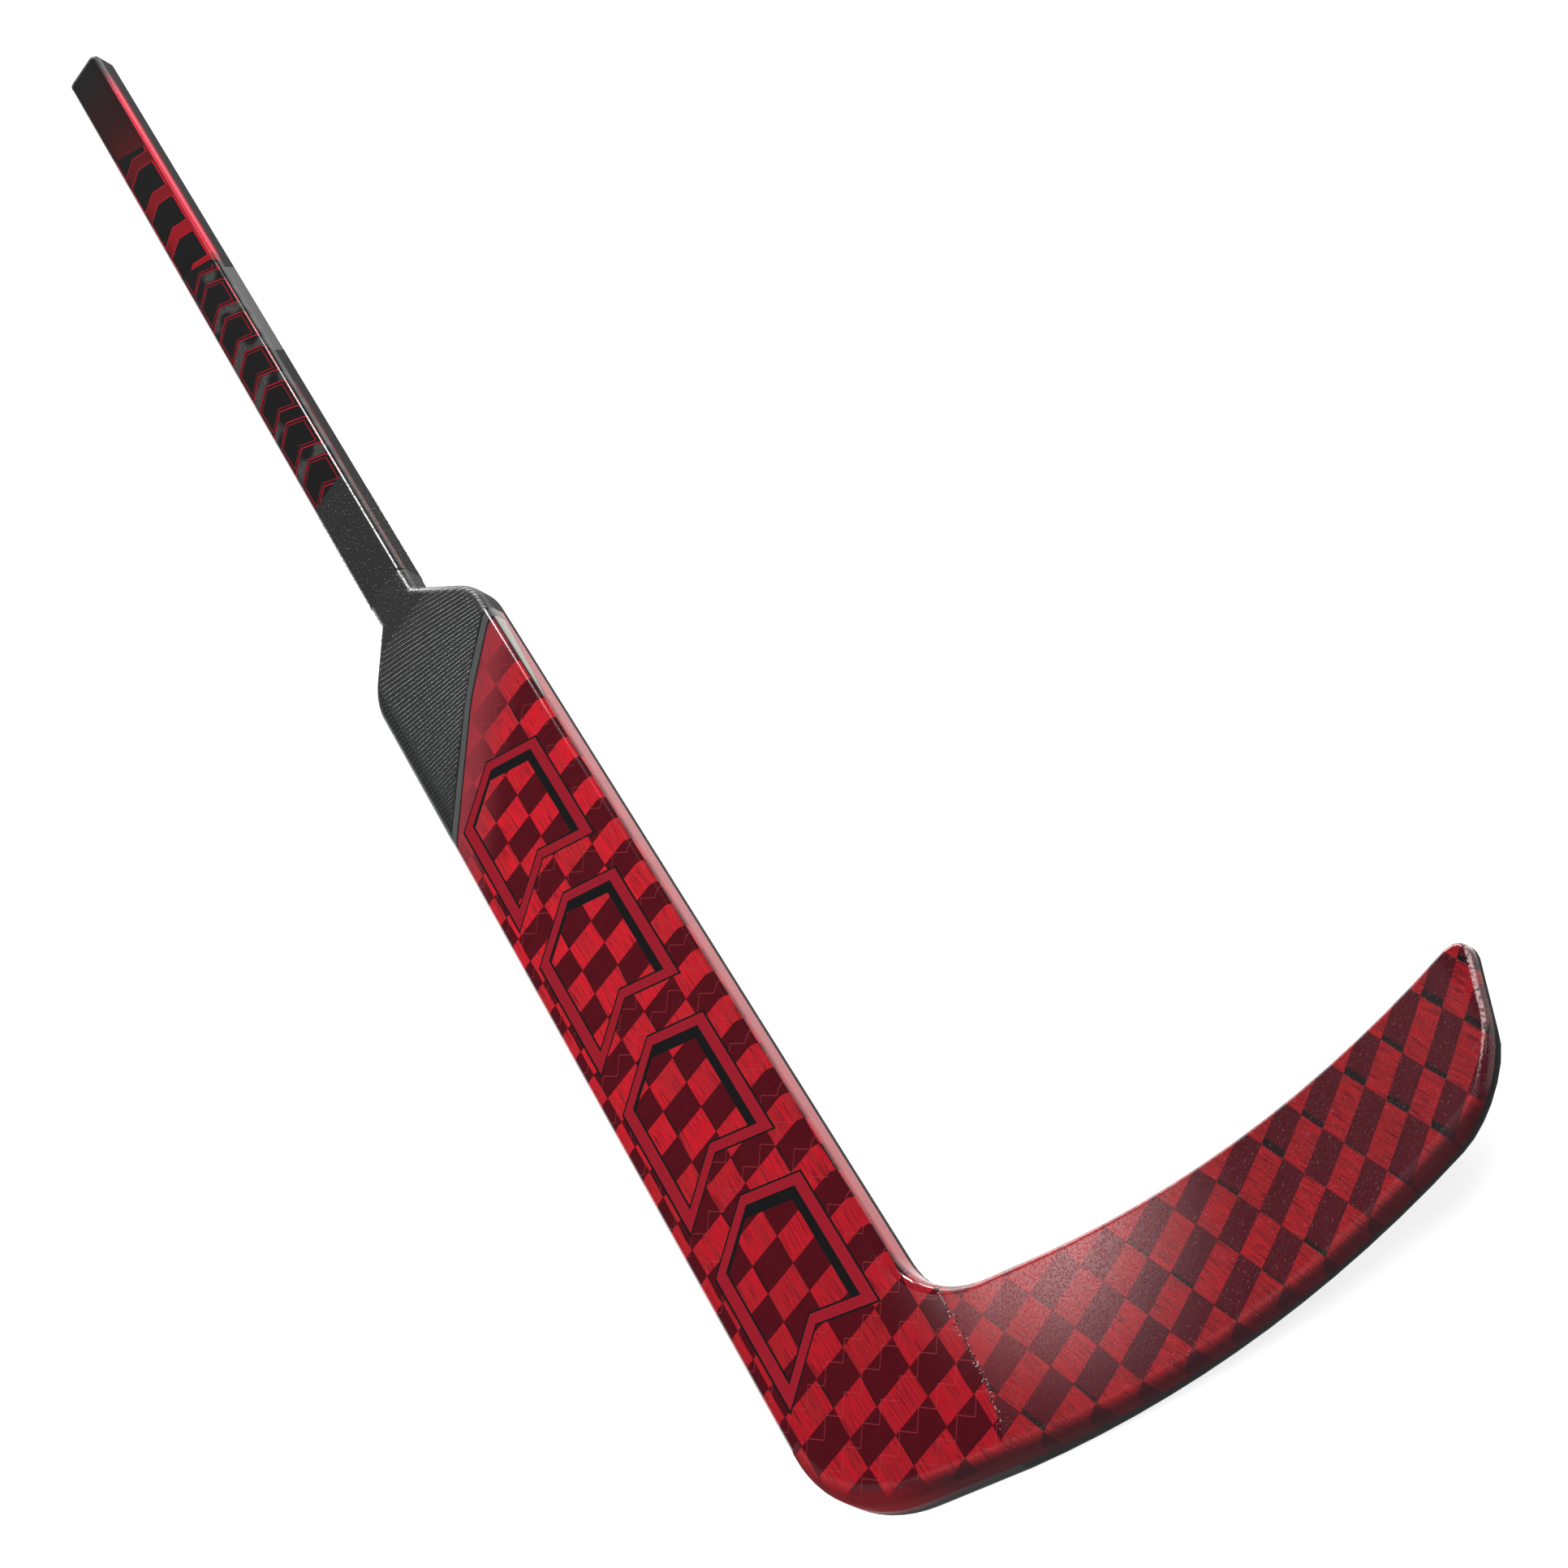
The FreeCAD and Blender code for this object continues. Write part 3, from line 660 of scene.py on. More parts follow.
def sole(paint):
    """1 on the lower edge and the low walls of the blade, which are dull from rubbing on the ice."""
    low_wall = paint.z.ramp(*LOW_WALL) * below_heel(paint)
    return low_wall.most(sole_depth(paint).ramp(*SOLE_ROUNDING))


def edge_shade_painted(paint):
    """1 along the lower edge, which is painted darker than the faces, as shade."""
    return sole_depth(paint).ramp(*SHADE_DEPTH)


print("lower edge dull to", SOLE_ROUNDING[0], "mm inside")

# %% [markdown]
# ## Where the gloss ends
# Round the heel the clear gloss stops at a curved line, and beyond it the blade has a satin, gritty coat
# that grips the puck. The line is a gentle curve across the heel, so a parabola will do. The grit is a fine
# relief: small enough to be a bump in the material, coarse enough to sparkle. The coat is worn smooth at
# the inner corner, where the sheen is, and there its colour is lifted to a paler, warmer red as painted
# sheen.

# %% Grit
LINE_MIDDLE = (54.6, -322.0)
LINE_BEND = 0.00122
LINE_STRAIGHT = 36.0
GRAIN_LIMITS = (0.50, 0.72)
GRAIN_LEVEL = 0.7
RIDGE_RUN = (0.15, 0.05)
RIDGE_LEAN = 0.55
RIDGES_PER_MM = 1.1
RIDGE_LEVEL = 0.3
GRIT_RELIEF = 0.045


def past_gloss(paint):
    """How far a point lies past the line where the gloss ends, towards the toe."""
    up = (paint.y - LINE_MIDDLE[1]).least(LINE_STRAIGHT)
    return paint.x - (LINE_MIDDLE[0] - up * up * LINE_BEND)


def grit(paint):
    """Fine grains and faint ridges of the blade's coat."""
    grains = paint.grain(per_mm=1.0, detail=1.0)
    slant = (paint.y - paint.x * RIDGE_LEAN) * RIDGES_PER_MM
    ridges = paint.noise(paint.x * RIDGE_RUN[0] + paint.y * RIDGE_RUN[1], slant, detail=0.0)
    return grains.ramp(*GRAIN_LIMITS) * GRAIN_LEVEL + ridges * RIDGE_LEVEL


print("grit:", GRIT_RELIEF, "mm high")

# %% Satin coat
BLADE_ROUGHNESS = 0.33
WORN_ROUGHNESS = 0.25
WEAR_AND_SHEEN_CORNER = (112.0, -338.0)
WEAR_AND_SHEEN_REACH = 105.0
PAINTED_SHEEN_RED = (0.62, 0.050, 0.060)
PAINTED_SHEEN_SHARE = 0.35
TOE_ROUGHNESS = 0.13
TOE_EDGE = (311.0, 319.0)
VEIL_LIMITS = (0.35, 0.8)
VEIL_SHARE = 0.3
SPARKS_PER_MM = 1.3
SPARK_SHIFT = 31.0
SPARK_LIMITS = (0.70, 0.80)
PAINTED_GLINT_SHARE = 0.35
PAINTED_GLINT_PINK = (0.42, 0.22, 0.22)


def corner_wear_and_sheen(paint):
    """1 at the blade's inner corner, fading to 0 around it."""
    return apart(paint, WEAR_AND_SHEEN_CORNER).ramp(WEAR_AND_SHEEN_REACH, 0.0)


def satin_roughness(paint):
    """The coat is worn smoother at the inner corner and the toe's end, and is dull on the lower edge."""
    rough = BLADE_ROUGHNESS - corner_wear_and_sheen(paint) * (BLADE_ROUGHNESS - WORN_ROUGHNESS)
    rough = rough - paint.x.ramp(*TOE_EDGE) * (BLADE_ROUGHNESS - TOE_ROUGHNESS)
    return rough.towards(sole(paint), SOLE_ROUGHNESS)


def blade_colour(paint):
    """The weave under the coat, and the weave's height."""
    colour, relief = blade_weave(paint)
    veil = paint.grain(per_mm=0.9)
    colour = paint.mix(veil.ramp(*VEIL_LIMITS) * VEIL_SHARE, colour, BLADE_REDS["dark"])
    # painted glints: pale pink specks in the colour, standing in for grit catching the light
    shifted = paint.x * SPARKS_PER_MM + SPARK_SHIFT
    painted_glints = paint.noise(shifted, paint.y * SPARKS_PER_MM, paint.z * SPARKS_PER_MM, detail=0.0)
    colour = paint.mix(painted_glints.ramp(*SPARK_LIMITS) * PAINTED_GLINT_SHARE, colour, PAINTED_GLINT_PINK)
    # painted sheen: the colour at the inner corner is lifted towards a paler, warmer red
    colour = paint.mix(corner_wear_and_sheen(paint) * PAINTED_SHEEN_SHARE, colour, PAINTED_SHEEN_RED)
    # painted shade: the colour darkens along the lower edge
    return paint.mix(edge_shade_painted(paint) * SOLE_SHADE_SHARE, colour, SOLE_SHADE_DARK), relief


print("satin coat: roughness from", WORN_ROUGHNESS, "to", BLADE_ROUGHNESS)

# %% [markdown]
# ## The two red fronts
# Now the layers can be put on in their order. The paddle's front shell reaches a little past the line where
# the gloss ends, so its paint holds both finishes and changes at the line. The blade's front shell has the
# satin coat alone, with a painted highlight along the toe's end: a pale, broken rim.

# %% Paddle front
GLOSS_ROUGHNESS = 0.11
LACQUER_SHINE = 0.30
EDGE_RED = (0.52, 0.012, 0.024)
EDGE_HEIGHT = (17.0, 15.0)
EDGE_SHARE = 0.85
HEEL_RED = (0.18, 0.0030, 0.0080)
HEEL_FADE = (-15.0, 15.0)
HEEL_SHARE = 0.9


def red_walls(paint, colour):
    """Plain red on the walls, with painted shade that darkens them along the lower edge round the heel."""
    colour = paint.mix(paint.z.ramp(*EDGE_HEIGHT) * EDGE_SHARE, colour, EDGE_RED)
    heel = paint.mix(paint.x.ramp(*HEEL_FADE), HEEL_RED, SOLE_SHADE_DARK)
    # painted shade: the walls darken along the lower edge and round the heel
    return paint.mix(edge_shade_painted(paint) * HEEL_SHARE, colour, heel)


def paddle_lacquer():
    paint = Paint("paddle_lacquer")
    below = below_collar(paint)
    gritty = past_gloss(paint) > 0.0
    colour = dulled_top(paint, paddle_weave(paint), below)
    colour = paddle_print(paint, colour)
    colour = red_walls(paint, colour)
    colour = paint.mix(gritty, colour, blade_colour(paint)[0])
    colour = collar_stripe(paint, colour, below)
    # painted highlight: a silver wedge down the toe-side edge
    colour = wedge_highlight(paint, colour, below)
    gloss = sole(paint) * (SOLE_ROUGHNESS - GLOSS_ROUGHNESS) + GLOSS_ROUGHNESS
    roughness = gloss.towards(gritty, satin_roughness(paint))
    return paint.finish(colour, roughness, gritty * grit(paint), GRIT_RELIEF, shine=LACQUER_SHINE)


dress(skins["paddle_face_front"], paddle_lacquer(), "paddle_face_front")

# %% Blade front
TOE_CENTRE = (282.7, -488.2)
TOE_OUTWARD = (0.92, -0.38)
TOE_RADIUS = 37.0
RIM_INNER = (3.0, 2.2)
RIM_OUTER = (0.8, 1.4)
RIM_END = (30.0, 12.0)
RIM_BREAKS = (0.35, 0.6)
RIM_HIGHLIGHT_SHARE = 0.9
RIM_HIGHLIGHT_PINK = (0.66, 0.40, 0.40)
WEAVE_LEVEL = 0.4


def toe_rim_highlight(paint):
    """1 on the toe's rim, where a highlight is painted: a straight end that turns into the lower edge round
    an arc.
    """
    across = paint.x - TOE_CENTRE[0]
    up = paint.y - TOE_CENTRE[1]
    outward = (across * TOE_OUTWARD[0] + up * TOE_OUTWARD[1]).most(0.0)
    down = (across * TOE_OUTWARD[1] - up * TOE_OUTWARD[0]).most(0.0)
    inside = TOE_RADIUS - (outward * outward + down * down).root()
    broken = paint.grain(per_mm=0.7, detail=3.0, flat=True).ramp(*RIM_BREAKS)
    return inside.ramp(*RIM_INNER) * inside.ramp(*RIM_OUTER) * down.ramp(*RIM_END) * broken


def blade_satin():
    paint = Paint("blade_satin")
    colour, relief = blade_colour(paint)
    # painted highlight: a pale pink broken line along the toe's end
    colour = paint.mix(toe_rim_highlight(paint) * RIM_HIGHLIGHT_SHARE, colour, RIM_HIGHLIGHT_PINK)
    height = grit(paint) + relief * WEAVE_LEVEL
    return paint.finish(colour, satin_roughness(paint), height, GRIT_RELIEF, shine=LACQUER_SHINE)


dress(skins["blade_face_front"], blade_satin(), "blade_face_front")

# %% [markdown]
# ## The black back
# The back shells are the same weave under black. Light only just tells the ribbons apart, so the two
# colours of the weave are close together and the roughness changes a little from one ribbon to the next. On
# the paddle's walls the red lacquer of the front laps over the back's upper part.

# %% Back finish
COAL = (0.014, 0.014, 0.015)
SOOT = (0.021, 0.021, 0.023)
SOOT_SHARES = (0.7, 0.3)
DULL_WALL = 0.72
BACK_WALL = (1.0, 4.0)
RIBBON_ROUGHER = 0.06
STREAK_ROUGHER = 0.05
BLACK_RELIEF = 0.02
BLACK_SHINE = 0.12
LAP_HEIGHT = 7.4


def black_weave(name, roughness, lap=None, shine=BLACK_SHINE):
    """Black ribbons; above the height lap, if there is one, the front's red lacquer laps over the wall."""
    paint = Paint(name)
    lengthwise = ribbons(paint.x, paint.y)[2]
    streaks = paint.grain(per_mm=1.2, detail=3.0, flat=True)
    colour = paint.mix(lengthwise * SOOT_SHARES[0] + streaks * SOOT_SHARES[1], COAL, SOOT)
    rough = paint.z.ramp(*BACK_WALL) * (DULL_WALL - roughness) + roughness
    rough = rough + lengthwise * RIBBON_ROUGHER + streaks * STREAK_ROUGHER
    if lap is not None:
        lapped = (paint.z > lap) * (1 - below_heel(paint))
        colour = paint.mix(lapped, colour, EDGE_RED)
        rough = rough.towards(lapped, GLOSS_ROUGHNESS)
    return paint.finish(colour, rough, streaks, BLACK_RELIEF, shine=shine)


paddle_black = black_weave("paddle_back_black", roughness=0.2, lap=LAP_HEIGHT, shine=LACQUER_SHINE)
dress(skins["paddle_face_back"], paddle_black, "paddle_face_back")
blade_black = black_weave("blade_back_black", roughness=0.38)
dress(skins["blade_face_back"], blade_black, "blade_face_back")

# %% [markdown]
# ## The ribbed collar
# The collar over the shoulders is bare black carbon with fine ribs that run slantwise, for the hand to
# hold. The ribs spread like a fan from a point beside the stick. The collar's own finish has a pale line
# between each two ribs, and turns into the grey of the grip at the neck.

# %% Collar finish
CARBON = (0.0105, 0.0110, 0.0115)
CARBON_LIGHT = (0.021, 0.0225, 0.0225)
GRIP_GREY = (0.034, 0.034, 0.034)
RIB_GREY = (0.070, 0.073, 0.071)
RIB_FAN = (283.0, 157.0)
RIB_STEP = 0.01
TOW_ACROSS = 0.9
TOW_ALONG = 0.25
TOW_LIMITS = (0.3, 0.75)
PALE_LINE = 0.14
PALE_SHARE = 0.6
FRONT_HEIGHT = 14.0
NECK_FOOT = (342.0, 372.0)
COLLAR_ROUGHNESS = 0.30
NECK_SMOOTHER = 0.11
TOW_ROUGHER = 0.06
WALL_HEIGHT = (17.0, 13.0)
SPECK_LIMITS = (0.45, 0.75)
SPECK_RELIEF = 0.04
COLLAR_SHINE = 0.3


def collar_carbon():
    paint = Paint("collar_carbon")
    tow = paint.noise(paint.x * TOW_ACROSS, paint.y * TOW_ALONG, paint.z * TOW_ACROSS, detail=4.0)
    specks = paint.grain(per_mm=1.4, detail=0.0)
    colour = paint.mix(tow.ramp(*TOW_LIMITS), CARBON, CARBON_LIGHT)
    beam = (paint.y - RIB_FAN[1]).math("ARCTAN2", RIB_FAN[0] - paint.x) / RIB_STEP
    between = (abs(beam.fraction() - 0.5) < PALE_LINE) * (paint.z > FRONT_HEIGHT)
    colour = paint.mix(between * PALE_SHARE, colour, RIB_GREY)
    neck = paint.y.ramp(*NECK_FOOT)
    colour = paint.mix(neck, colour, GRIP_GREY)
    rough = COLLAR_ROUGHNESS - neck * NECK_SMOOTHER + tow * TOW_ROUGHER
    rough = rough.towards(paint.z.ramp(*WALL_HEIGHT), DULL_WALL)
    return paint.finish(colour, rough, specks.ramp(*SPECK_LIMITS), SPECK_RELIEF, shine=COLLAR_SHINE)


carbon = collar_carbon()
for node in ("shoulder_wrap_front", "shoulder_wrap_back"):
    dress(skins[node], carbon, node)

# %% Finish of the ribs
STITCH_PITCH = 1.1
STITCH_LEAN = 0.105
STITCH_LINE = (0.35, 0.6)
RIB_FADE_LIMITS = (0.3, 0.7)
RIB_ROUGHNESS = 0.22
RIB_ROUGHER = 0.1


def rib_carbon():
    paint = Paint("rib_carbon")
    stitch = ((paint.x + paint.y * STITCH_LEAN) / STITCH_PITCH).fraction().ramp(*STITCH_LINE)
    fade = paint.grain(per_mm=0.05, detail=1.0, flat=True)
    colour = paint.mix(stitch * fade.ramp(*RIB_FADE_LIMITS), CARBON_LIGHT, RIB_GREY)
    return paint.finish(colour, fade * RIB_ROUGHER + RIB_ROUGHNESS)


ribs_finish = rib_carbon()

# %% [markdown]
# ## Trees that grow shapes
# What repeats over a surface is left to Geometry Nodes: the tree gets named sizes and the skin it works on,
# and what it grows is kept as a plain mesh. The helpers below add nodes in a single line each, drop points
# on to a skin with a ray from above, and end every tree in the same way.

# %% Helpers for node trees
DROP_HEIGHT = 40.0
RAY_LENGTH = 100 * MM
DOWN = (0.0, 0.0, -1.0)


def new_tree(name, inputs):
    """A Geometry Nodes tree with named inputs of (kind, value), and its two end nodes."""
    group = bpy.data.node_groups.new(name, "GeometryNodeTree")
    for label, (kind, value) in inputs.items():
        socket = group.interface.new_socket(label, in_out="INPUT", socket_type=f"NodeSocket{kind}")
        if value is not None:
            socket.default_value = value
    group.interface.new_socket("Geometry", in_out="OUTPUT", socket_type="NodeSocketGeometry")
    return group, group.nodes.new("NodeGroupInput"), group.nodes.new("NodeGroupOutput")


def wire(group, kind, inputs=None, **settings):
    """Add a node, set its options, and feed its inputs with values or sockets."""
    node = group.nodes.new(kind)
    for option, value in settings.items():
        setattr(node, option, value)
    for label, term in (inputs or {}).items():
        feed(group, node.inputs[label], term)
    return node


def compare(group, value, operation, limit):
    return wire(group, "FunctionNodeCompare", {"A": value, "B": limit}, operation=operation).outputs[0]


def either(group, first, second):
    return wire(group, "FunctionNodeBooleanMath", {0: first, 1: second}, operation="OR").outputs[0]


def drop(group, skin_input):
    """A ray straight down from each point to a skin, and 1 where it misses."""
    info = wire(group, "GeometryNodeObjectInfo", {"Object": skin_input})
    ray = wire(group, "GeometryNodeRaycast", {
        "Target Geometry": info.outputs["Geometry"], "Ray Direction": DOWN, "Ray Length": RAY_LENGTH})
    missed = wire(group, "FunctionNodeBooleanMath", {0: ray.outputs["Is Hit"]}, operation="NOT")
    return ray, missed.outputs[0]


def odd_sizes(group, seed, least, most):
    """A random size for each point."""
    luck = wire(group, "FunctionNodeRandomValue", {2: least, 3: most, "Seed": seed}, data_type="FLOAT")
    return luck.outputs[1]


def close(group, result, shape, finish):
    """End a tree: make its instances real and give them their finish."""
    whole = wire(group, "GeometryNodeRealizeInstances", {"Geometry": shape.outputs[0]})
    coat = wire(group, "GeometryNodeSetMaterial", {"Geometry": whole.outputs[0], "Material": finish})
    group.links.new(coat.outputs[0], result.inputs[0])
    return group


def grown(name, group, values):
    """Run a tree on an empty piece and keep the result as a plain mesh."""
    piece = bpy.data.objects.new(name, bpy.data.meshes.new(name))
    scene.collection.objects.link(piece)
    modifier = piece.modifiers.new("grow", "NODES")
    modifier.node_group = group
    for item in group.interface.items_tree:
        if item.in_out == "INPUT" and item.name in values:
            modifier[item.identifier] = values[item.name]
    plain_mesh(piece)
    for face in piece.data.polygons:
        face.use_smooth = True
    print(name, len(piece.data.polygons), "faces")
    return piece


# %% [markdown]
# ## The collar's ribs
# A bump could fake the ribs, but they catch the light as real ridges do, so they are laid as shapes: a fan
# of straight lines, dropped on to the collar's skin, cut where the ray misses or the skin is steep, and
# given a small round section that is sunk past its middle and thins out towards the neck and outer edge.

# %% Collar ribs
RIB_FIRST = math.pi - 0.80
RIB_COUNT = 77
RIB_POINTS = 90
RIB_REACH = (262 * MM, 392 * MM)
RIB_RADIUS = 0.42 * MM
RIB_SIDES = 6
RIB_SINK = 0.55
RIB_STEEPEST = 0.55
RIB_TOP = 392 * MM
RIB_FADE = 335 * MM
RIB_OUTER = -40 * MM
RIB_OUTER_FADE = -33 * MM
RIB_THINNEST = 0.15


def rib_fan(group, given):
    """Straight lines that spread from the fan's point, high above the collar."""
    line = wire(group, "GeometryNodeCurvePrimitiveLine", {
        "Start": (RIB_REACH[0], 0.0, 0.0), "End": (RIB_REACH[1], 0.0, 0.0)})
    fine = wire(group, "GeometryNodeResampleCurve", {"Curve": line.outputs[0], "Count": RIB_POINTS})
    rows = wire(group, "GeometryNodeMeshLine", {"Count": given.outputs["Count"], "Offset": (0.0, 0.0, 0.0)})
    number = wire(group, "GeometryNodeInputIndex")
    turn = wire(group, "ShaderNodeMath", {
        0: number.outputs[0], 1: given.outputs["Step"], 2: RIB_FIRST}, operation="MULTIPLY_ADD")
    spin = wire(group, "ShaderNodeCombineXYZ", {"Z": turn.outputs[0]})
    rotation = wire(group, "FunctionNodeEulerToRotation", {"Euler": spin.outputs[0]})
    laid = wire(group, "GeometryNodeInstanceOnPoints", {
        "Points": rows.outputs[0], "Instance": fine.outputs[0], "Rotation": rotation.outputs[0]})
    flat = wire(group, "GeometryNodeRealizeInstances", {"Geometry": laid.outputs[0]})
    raised = wire(group, "GeometryNodeTransform", {
        "Geometry": flat.outputs[0], "Translation": Vector((*RIB_FAN, DROP_HEIGHT)) * MM})
    return wire(group, "GeometryNodeCurveToMesh", {"Curve": raised.outputs[0]})


def rib_lines(group, given):
    """The fan dropped on to the collar, without what misses it or lies on its steep sides."""
    fan = rib_fan(group, given)
    ray, missed = drop(group, given.outputs["Skin"])
    slope = wire(group, "ShaderNodeSeparateXYZ", {"Vector": ray.outputs["Hit Normal"]})
    place = wire(group, "ShaderNodeSeparateXYZ", {"Vector": ray.outputs["Hit Position"]})
    steep = compare(group, slope.outputs["Z"], "LESS_THAN", RIB_STEEPEST)
    high = compare(group, place.outputs["Y"], "GREATER_THAN", RIB_TOP)
    away = either(group, either(group, steep, missed), high)
    noted = wire(group, "GeometryNodeStoreNamedAttribute", {
        "Geometry": fan.outputs[0], "Name": "away", "Value": away}, data_type="BOOLEAN", domain="POINT")
    lowered = wire(group, "GeometryNodeSetPosition", {
        "Geometry": noted.outputs[0], "Position": ray.outputs["Hit Position"]})
    marked = wire(group, "GeometryNodeInputNamedAttribute", {"Name": "away"}, data_type="BOOLEAN")
    kept = wire(group, "GeometryNodeDeleteGeometry", {
        "Geometry": lowered.outputs[0], "Selection": marked.outputs[0]}, domain="POINT")
    return wire(group, "GeometryNodeMeshToCurve", {"Mesh": kept.outputs[0]})


def rib_thickness(group):
    """1 over most of the collar, and less towards the neck and the outer edge."""
    where = wire(group, "GeometryNodeInputPosition")
    place = wire(group, "ShaderNodeSeparateXYZ", {"Vector": where.outputs[0]})
    upper = wire(group, "ShaderNodeMapRange", {
        "Value": place.outputs["Y"], "From Min": RIB_FADE, "From Max": RIB_TOP,
        "To Min": 1.0, "To Max": RIB_THINNEST})
    outer = wire(group, "ShaderNodeMapRange", {
        "Value": place.outputs["X"], "From Min": RIB_OUTER, "From Max": RIB_OUTER_FADE,
        "To Min": RIB_THINNEST, "To Max": 1.0})
    return wire(group, "ShaderNodeMath", {0: upper.outputs[0], 1: outer.outputs[0]}, operation="MULTIPLY")


def rib_tree():
    group, given, result = new_tree("collar_ribs", {
        "Skin": ("Object", None), "Step": ("Float", RIB_STEP), "Count": ("Int", RIB_COUNT),
        "Radius": ("Float", RIB_RADIUS), "Finish": ("Material", None)})
    section = wire(group, "GeometryNodeCurvePrimitiveCircle", {
        "Resolution": RIB_SIDES, "Radius": given.outputs["Radius"]})
    ribs = wire(group, "GeometryNodeCurveToMesh", {
        "Curve": rib_lines(group, given).outputs[0], "Profile Curve": section.outputs[0],
        "Scale": rib_thickness(group).outputs[0], "Fill Caps": True})
    sunk = wire(group, "GeometryNodeTransform", {
        "Geometry": ribs.outputs[0], "Translation": (0.0, 0.0, -RIB_RADIUS * RIB_SINK)})
    return close(group, result, sunk, given.outputs["Finish"])


collar_ribs = grown("collar_ribs", rib_tree(), {"Skin": skins["shoulder_wrap_front"], "Finish": ribs_finish})
dress(collar_ribs, ribs_finish)

# %% [markdown]
# ## The bead where the gloss ends
# The gloss stops in a broken bead of resin: loose grains along a line, whose pale clots are painted glints.
# The line is a parabola, which is what a curve with a single control point draws, so it needs three points
# only. Points along it are pushed aside at random, dropped on to the paddle's skin like the ribs, and each
# becomes a grain of its own size.

# %% Bead of resin
BEAD_POINTS = ((53.0, -286.0), (58.65, -350.0), (44.3, -414.0))
BEAD_SMOOTHNESS = 60
BEAD_RADIUS = 0.62 * MM
BEAD_FACETS = {"Segments": 6, "Rings": 4}
BEAD_COUNT = 210
BEAD_STRAY = 1.3 * MM
BEAD_SEED = 7
BEAD_LEAST = 0.2
CLOT_LIMITS = (0.46, 0.58)
RESIN_GLINT_PALE = (0.60, 0.40, 0.41)
RESIN_ROUGHNESS = 0.12
RESIN_ROUGHER = 0.1


def resin():
    paint = Paint("resin_bead")
    clots_and_glints = paint.grain(per_mm=0.6, flat=True)
    # painted glints: the pale clots stand in for light catching the resin grains
    colour = paint.mix(clots_and_glints.ramp(*CLOT_LIMITS), BLADE_REDS["deep"], RESIN_GLINT_PALE)
    return paint.finish(colour, clots_and_glints * RESIN_ROUGHER + RESIN_ROUGHNESS)


def bead_tree():
    group, given, result = new_tree("resin_bead", {
        "Skin": ("Object", None), "Radius": ("Float", BEAD_RADIUS), "Seed": ("Int", BEAD_SEED),
        "Finish": ("Material", None)})
    start, middle, end = (Vector((*point, DROP_HEIGHT)) * MM for point in BEAD_POINTS)
    path = wire(group, "GeometryNodeCurveQuadraticBezier", {
        "Resolution": BEAD_SMOOTHNESS, "Start": start, "Middle": middle, "End": end})
    points = wire(group, "GeometryNodeCurveToPoints", {"Curve": path.outputs[0], "Count": BEAD_COUNT})
    stray = wire(group, "FunctionNodeRandomValue", {
        0: (-BEAD_STRAY, -BEAD_STRAY, 0.0), 1: (BEAD_STRAY, BEAD_STRAY, 0.0), "Seed": given.outputs["Seed"]},
        data_type="FLOAT_VECTOR")
    strewn = wire(group, "GeometryNodeSetPosition", {
        "Geometry": points.outputs[0], "Offset": stray.outputs[0]})
    ray, missed = drop(group, given.outputs["Skin"])
    kept = wire(group, "GeometryNodeDeleteGeometry", {
        "Geometry": strewn.outputs[0], "Selection": missed}, domain="POINT")
    lowered = wire(group, "GeometryNodeSetPosition", {
        "Geometry": kept.outputs[0], "Position": ray.outputs["Hit Position"]})
    ball = wire(group, "GeometryNodeMeshUVSphere", {**BEAD_FACETS, "Radius": given.outputs["Radius"]})
    grains = wire(group, "GeometryNodeInstanceOnPoints", {
        "Points": lowered.outputs[0], "Instance": ball.outputs[0],
        "Scale": odd_sizes(group, given.outputs["Seed"], BEAD_LEAST, 1.0)})
    return close(group, result, grains, given.outputs["Finish"])


resin_finish = resin()
resin_bead = grown("resin_bead", bead_tree(), {"Skin": skins["paddle_face_front"], "Finish": resin_finish})
dress(resin_bead, resin_finish)

# %% [markdown]
# ## The painted shaft
# The shaft is black at the butt, warms to red further down, and turns to black carbon with grey facets
# before the bare grip at the neck. A red line runs down its corner. The same trick as on the paddle serves:
# each part of the print is a range of heights, and the chevrons are the paddle's, only smaller and with
# thin outlines.

# %% Red field of the shaft
SHAFT_BLACK = (0.0105, 0.0105, 0.0115)
BUTT_MAROON = (0.030, 0.0085, 0.0095)
BUTT_FADE = (1150.0, 1080.0)
FIELD_RED = (0.34, 0.010, 0.016)
LINE_RED = (0.62, 0.008, 0.030)
SHAFT_MIDDLE = -2.7
SHAFT_LEAN = 0.9
FIELD_END = 826.0
FIELD_WARM = (1075.0, 851.0)
FIELD_ACROSS = (-19.0, 0.0)
FIELD_TOP = 1010.0
FIELD_LINE = 0.7
FIELD_CHEVRON = {"pitch": 56.0, "half_height": 19.0, "slope": 0.8, "half_width": 11.5}


def red_field(paint, colour, front):
    """Maroon at the butt that warms to red, with black chevrons in thin red lines."""
    x = paint.x - SHAFT_MIDDLE
    lean = paint.y + paint.x * SHAFT_LEAN
    on_field = (lean > FIELD_END) * front
    colour = paint.mix(on_field * paint.y.ramp(*BUTT_FADE), colour, BUTT_MAROON)
    colour = paint.mix(on_field * lean.ramp(*FIELD_WARM) * x.ramp(*FIELD_ACROSS), colour, FIELD_RED)
    outside = chevrons(x, paint.y - FIELD_END, **FIELD_CHEVRON)
    on_field = on_field * (lean < FIELD_TOP)
    colour = paint.mix(on_field * (outside < FIELD_LINE), colour, LINE_RED)
    return paint.mix(on_field * (outside < 0.0), colour, SHAFT_BLACK)


print("red field from", FIELD_END, "to", FIELD_WARM[0], "mm")

